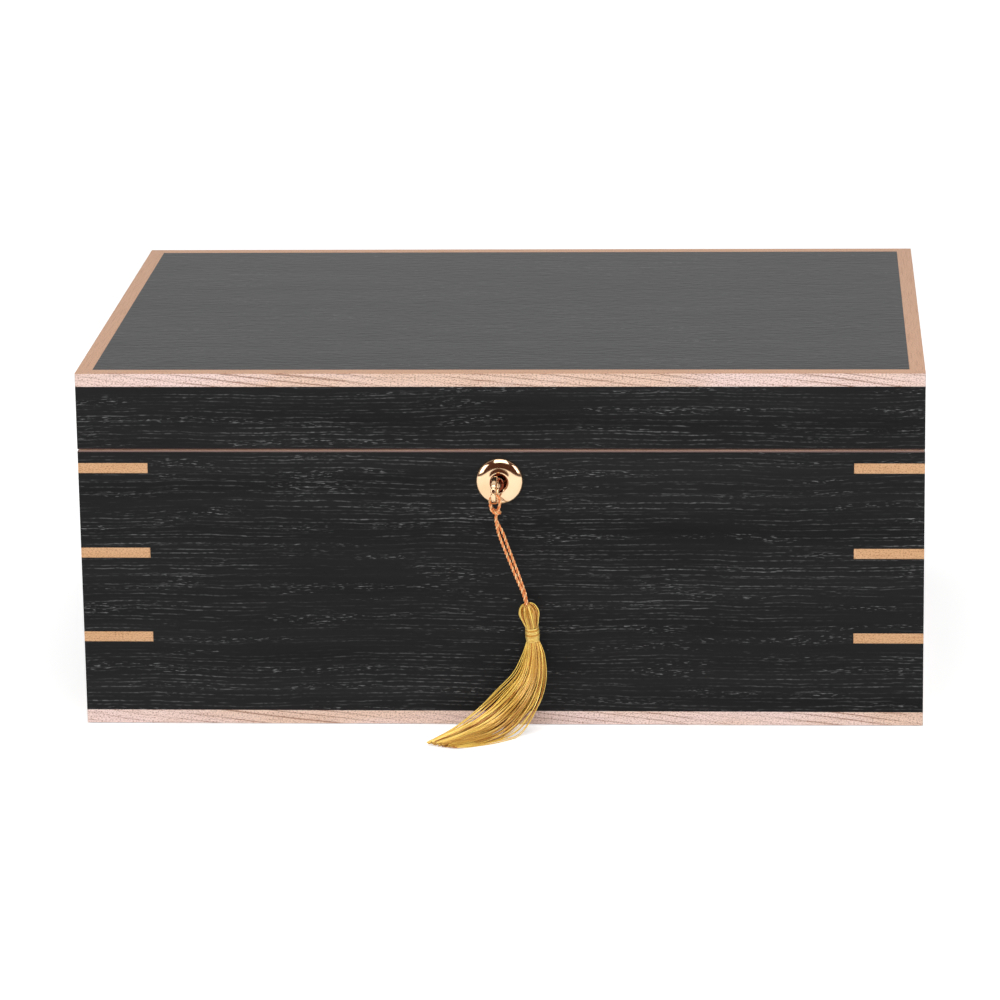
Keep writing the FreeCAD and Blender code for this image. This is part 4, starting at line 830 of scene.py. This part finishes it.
STRAYS = [  # how far out, the angle there, and the power that moves the widest place towards the ends
    (1.16, 0.0, 0.8), (1.1, -0.2, 0.9), (1.1, 3.1, 0.9), (1.16, 3.25, 1.2),
    (0.98, 2.8, 1.1), (1.1, 3.5, 1.5), (1.24, 3.2, 0.7), (0.92, 3.4, 1.3),
    (1.3, 0.1, 2.2), (1.42, -0.15, 2.6), (1.2, -0.5, 2.0), (1.12, 5.0, 1.2),
]

bundle_out = np.sqrt(rng.uniform(0, 1, FRINGE_THREADS))
bundle_turn = rng.uniform(0, 2 * np.pi, FRINGE_THREADS)
bundle_turn += LOCK_GATHER * np.sin(bundle_turn * LOCKS) / LOCKS
bundle_out[::2] = (1 - FRINGE_SKIN) + FRINGE_SKIN * bundle_out[::2]
loosen = np.linspace(0, 1, len(FRINGE_STATIONS))[:, None]
bulge = np.sin(np.pi * loosen)
spread = np.ones((len(FRINGE_STATIONS), FRINGE_THREADS)) * bundle_out * BUNDLE
waver = rng.normal(0, WAVER_OUT, spread.shape) * bulge
spread *= 1 + waver + rng.normal(0, ENDS_OUT, FRINGE_THREADS) * loosen
spread *= 1 - LEFT_HOLLOW * bulge * np.maximum(-np.cos(bundle_turn), 0)
drift = bundle_turn + rng.normal(0, ENDS_ROUND, FRINGE_THREADS) * loosen
drift = drift + rng.normal(0, WAVER_ROUND, spread.shape) * loosen
for number, (reach, angle, late) in enumerate(STRAYS):
    spread[:, number] = BUNDLE + (reach - BUNDLE) * np.sin(np.pi * loosen[:, 0] ** late)
    drift[:, number] = angle
skirt_middle, skirt_breadth, skirt_depth = (np.array(part)[:, None] for part in zip(*FRINGE_STATIONS))
stations = skirt_middle + skirt_breadth * (spread * np.cos(drift))[:, :, None]
stations = stations + skirt_depth * (spread * np.sin(drift))[:, :, None]
last_stretch = rng.uniform(SHORTEST_END, 1.0, FRINGE_THREADS)[:, None]
stations[-1] = stations[-2] + (stations[-1] - stations[-2]) * last_stretch
fringe_lines = np.moveaxis(through(stations, FRINGE_RINGS), 1, 0) + LIMB
fringe_lines[:, :, 2] = np.maximum(fringe_lines[:, :, 2], FRINGE_THICK + LYING_GAP)
fringe = piece("tassel_fringe_threads", *tubes(fringe_lines, FRINGE_THICK, THREAD_SIDES),
               gold_silk, "tassel", "tassel_fringe")
thread_map(fringe, FRINGE_THREADS, FRINGE_RINGS, THREAD_SIDES, FRINGE_LENGTH)

# Under the base: the floor panel, a fibre board let into the four boards.
# Green felt is glued to it, so that the chest stands softly.

PANEL = linear(176, 142, 104)
PANEL_DARK = linear(148, 114, 80)
FELT = linear(38, 52, 44)
FELT_DARK = linear(24, 36, 30)
FELT_LOW, FELT_HIGH = (-162, -111, 0), (162, 111, 1.2)
FELT_ROUND = 0.5


def dull(name, colour, deep, size, depth, roughness=0.85, sheen=0.0):
    """A dull fibrous or foamed finish: clumps of a size, darker between them, raised by a depth."""
    matt = Shader(bpy.data.materials.new(name))
    clump = matt.noise(matt.place((1 / size, 1 / size, 1 / size)), 4, 0.7)
    drift = matt.noise(matt.place((25, 25, 25)), 2)
    share = matt.rise(clump * 0.75 + drift * 0.25, 0.35, 0.65)
    dress(matt, Base_Color=matt.mix(share, deep, colour), Roughness=roughness, Specular_IOR_Level=0.2)
    dress(matt, Sheen_Weight=sheen, Sheen_Roughness=0.6)
    return dress(matt, Normal=matt.bump(clump, depth))


wear(dull("panel_fibre", PANEL, PANEL_DARK, 0.9 * MM, 0.1 * MM, 0.7), "base_floor")
felt_finish = dull("felt", FELT, FELT_DARK, 0.7 * MM, 0.25 * MM, 0.95, 0.3)
felt = piece("felt_sheet", *block(FELT_LOW, FELT_HIGH, FELT_ROUND), felt_finish, "base", "felt_pad")

# The lining of the base and the lid, the rails, the rests, the tray and the dividers.
# They are Spanish cedar, planed and left bare, which smells sweet and keeps the cigars moist.

CEDAR = linear(208, 154, 112)
CEDAR_DARK = linear(174, 116, 78)
CEDAR_PORE = linear(122, 76, 50)
CEDAR_GRAIN = 0.06 * MM
CEDAR_EDGE = 0.5 * MM
SLAT_PITCH = 33.6 * MM


def cedar(name, turn=0, corner=None, shift=0, board=1):
    """Growth lines that drift a little along each board, fine dark pores in short dashes, and a soft tone.

    Boards lie side by side, each as wide as board says, and each has its own part of the pattern."""
    wood = Shader(bpy.data.materials.new(name))
    along, across, height = along_grain(wood, turn, corner)
    number = ((across - height) / board + 0.5).math("FLOOR") * 3.7 + shift
    drift = wood.noise(wood.joined(along * 3, across * 20, number), 2) * 3
    growth = wood.noise(wood.joined(along * 3, across * 240 + drift, number + 3), 4, 0.65)
    pores = wood.rise(wood.noise(wood.joined(along * 170, across * 2300, number), 2), 0.6, 0.72)
    tone = wood.noise(wood.joined(along * 4, across * 12, number + 7), 2)
    share = wood.rise(growth * 0.7 + tone * 0.3, 0.3, 0.66)
    dress(wood, Base_Color=wood.mix(pores * 0.5, wood.mix(share, CEDAR_DARK, CEDAR), CEDAR_PORE))
    dress(wood, Roughness=growth * 0.2 + 0.5, Specular_IOR_Level=0.3)
    return dress(wood, Normal=wood.bump(growth * 0.3 - pores, CEDAR_GRAIN, wood.soft_edge(CEDAR_EDGE)))


wear(cedar("cedar_long"),
     "lining_front", "lining_back", "lining_floor", "lid_lining_top", "tray_front", "tray_back")
wear(cedar("cedar_short", QUARTER_TURN, shift=4),
     "lining_left", "lining_right", "tray_rests", "tray_left", "tray_right")
wear(cedar("cedar_slat", QUARTER_TURN, shift=9, board=SLAT_PITCH), "tray_slats")
wear(cedar("cedar_divider", QUARTER_TURN, shift=14), "tray_divider", "bottom_divider")
wear(cedar("cedar_rail", corner=FRAME_CORNER, shift=19), "lid_lining_rails")

# The two hinges at the back: leaves of plain brass, let into the rims and held by brass screws.
# Their pins are polished.

wear(brass, "hinge_base_leaves", "hinge_lid_leaves", "hinge_base_screws", "hinge_lid_screws")
wear(polished_brass, "hinge_pins")

# The hygrometer in the lid, held by magnets: a turned brass case, a printed dial, a blued needle, a glass.
# The dial is read with the lid open, so its figures face down when the lid is shut.

DIAL_MIDDLE = (-95, 0)
DIAL_FACE = 138.2
DIAL_WHITE = linear(240, 238, 230)
DIAL_SHADE = linear(232, 229, 219)
INK = linear(30, 30, 34)
INK_SHADE = linear(44, 44, 48)
INK_DEPTH = 0.03
HALF_SWEEP = math.radians(130)
MARK_OUT = 19.6
LONG_MARK, SHORT_MARK = 2.4, 1.3
LONG_MARK_WIDTH, SHORT_MARK_WIDTH = 0.17, 0.1  # from its middle to its side
FIGURE_RADIUS = 13.6
FIGURE_SIZE = 3.3

wear(polished_brass, "hygrometer_case")
wear(dull("dial_white", DIAL_WHITE, DIAL_SHADE, 0.4 * MM, 0.004 * MM, 0.45), "hygrometer_dial")
wear(metal("needle_blue", linear(52, 74, 140), linear(36, 50, 104), 0.25), "hygrometer_needle")
wear(metal("magnet_nickel", linear(196, 196, 194), linear(168, 168, 168), 0.3), "accessory_magnets")
glass = Shader(bpy.data.materials.new("lens_glass"))
smear = glass.rise(glass.noise(glass.place((90, 90, 90)), 3), 0.5, 0.8) * 0.05
dress(glass, Base_Color=(1, 1, 1), Transmission_Weight=1, IOR=1.5, Roughness=smear)
wear(glass.owner, "hygrometer_lens")


def on_dial(points):
    """Points drawn on paper, x to the right and y up, laid on the dial so that they read from below."""
    x, y = np.asarray(points, float).T[:2]
    return np.stack([DIAL_MIDDLE[0] + x, DIAL_MIDDLE[1] - y, np.full(len(x), DIAL_FACE - INK_DEPTH)], -1)


def at_value(value, radius):
    """A place on the dial's scale, which runs from 0 to 100 over the sweep, clockwise as it is read."""
    turn = (np.asarray(value, float) - 50) / 50 * HALF_SWEEP
    return np.stack([radius * np.sin(turn), radius * np.cos(turn)], -1)


values = np.arange(0, 101, 2)
tens = values % 10 == 0
mark_in = (MARK_OUT - np.where(tens, LONG_MARK, SHORT_MARK))[:, None]
mark_width = np.where(tens, LONG_MARK_WIDTH, SHORT_MARK_WIDTH)[:, None]
way_out = at_value(values, 1)
way_aside = np.stack([way_out[:, 1], -way_out[:, 0]], -1)
marks = np.stack([
    way_out * mark_in - way_aside * mark_width,
    way_out * mark_in + way_aside * mark_width,
    way_out * MARK_OUT + way_aside * mark_width,
    way_out * MARK_OUT - way_aside * mark_width,
], 1).reshape(-1, 2)
printed = [(on_dial(marks), np.arange(len(marks)).reshape(-1, 4).tolist())]
for value in range(0, 101, 10):
    figure = bpy.data.curves.new("figure", "FONT")
    figure.body = str(value)
    figure.size = FIGURE_SIZE
    figure.align_x = "CENTER"
    figure.align_y = "CENTER"
    holder = bpy.data.objects.new("figure", figure)
    flat = bpy.data.meshes.new_from_object(holder)
    bpy.data.objects.remove(holder)
    figure_corners = np.array([vertex.co[:2] for vertex in flat.vertices]) + at_value(value, FIGURE_RADIUS)
    printed.append((on_dial(figure_corners), [list(face.vertices) for face in flat.polygons]))
ink = dull("dial_ink", INK, INK_SHADE, 0.3 * MM, 0.002 * MM, 0.5)
scale = piece("dial_scale", *together(*printed), ink, "lid")

# The humidifier: a black moulded case with a slotted cover, held by magnets under the lid.
# A block of green foam in it holds the water.

PLASTIC = linear(34, 34, 36)
PLASTIC_DARK = linear(26, 26, 28)
FOAM = linear(52, 74, 58)
FOAM_DARK = linear(22, 34, 26)
FOAM_LOW, FOAM_HIGH = (-27.5, -25.5, 127.8), (117.5, 25.5, 138.3)
FOAM_SQUARENESS = (0.12, 0.6)  # in plan and in height: 1 is a ball, and less is squarer
FOAM_ROWS, FOAM_COLUMNS = 24, 96


def puffed(low, high, squareness, rows, columns):
    """A crowned block: a ball's points, each coordinate drawn out towards the faces by a power."""
    low, high = np.array(low, float), np.array(high, float)
    climb = np.linspace(-0.497, 0.497, rows)[:, None] * np.pi
    turn = np.linspace(0, 2 * np.pi, columns, endpoint=False)
    ball = [np.cos(climb) * np.cos(turn), np.cos(climb) * np.sin(turn), np.sin(climb) + 0 * turn]
    powers = (squareness[0], squareness[0], squareness[1])
    ball = np.stack([np.sign(part) * np.abs(part) ** power for part, power in zip(ball, powers)], -1)
    return ball * (high - low) / 2 + (low + high) / 2, capped(rows, columns)


plastic = dull("plastic_black", PLASTIC, PLASTIC_DARK, 0.5 * MM, 0.02 * MM, 0.42)
wear(plastic, "humidifier_housing", "humidifier_grille")
foam_finish = dull("sponge_foam", FOAM, FOAM_DARK, 1.1 * MM, 0.5 * MM)
foam = piece("humidifier_foam", *puffed(FOAM_LOW, FOAM_HIGH, FOAM_SQUARENESS, FOAM_ROWS, FOAM_COLUMNS),
             foam_finish, "lid", "humidifier_sponge")
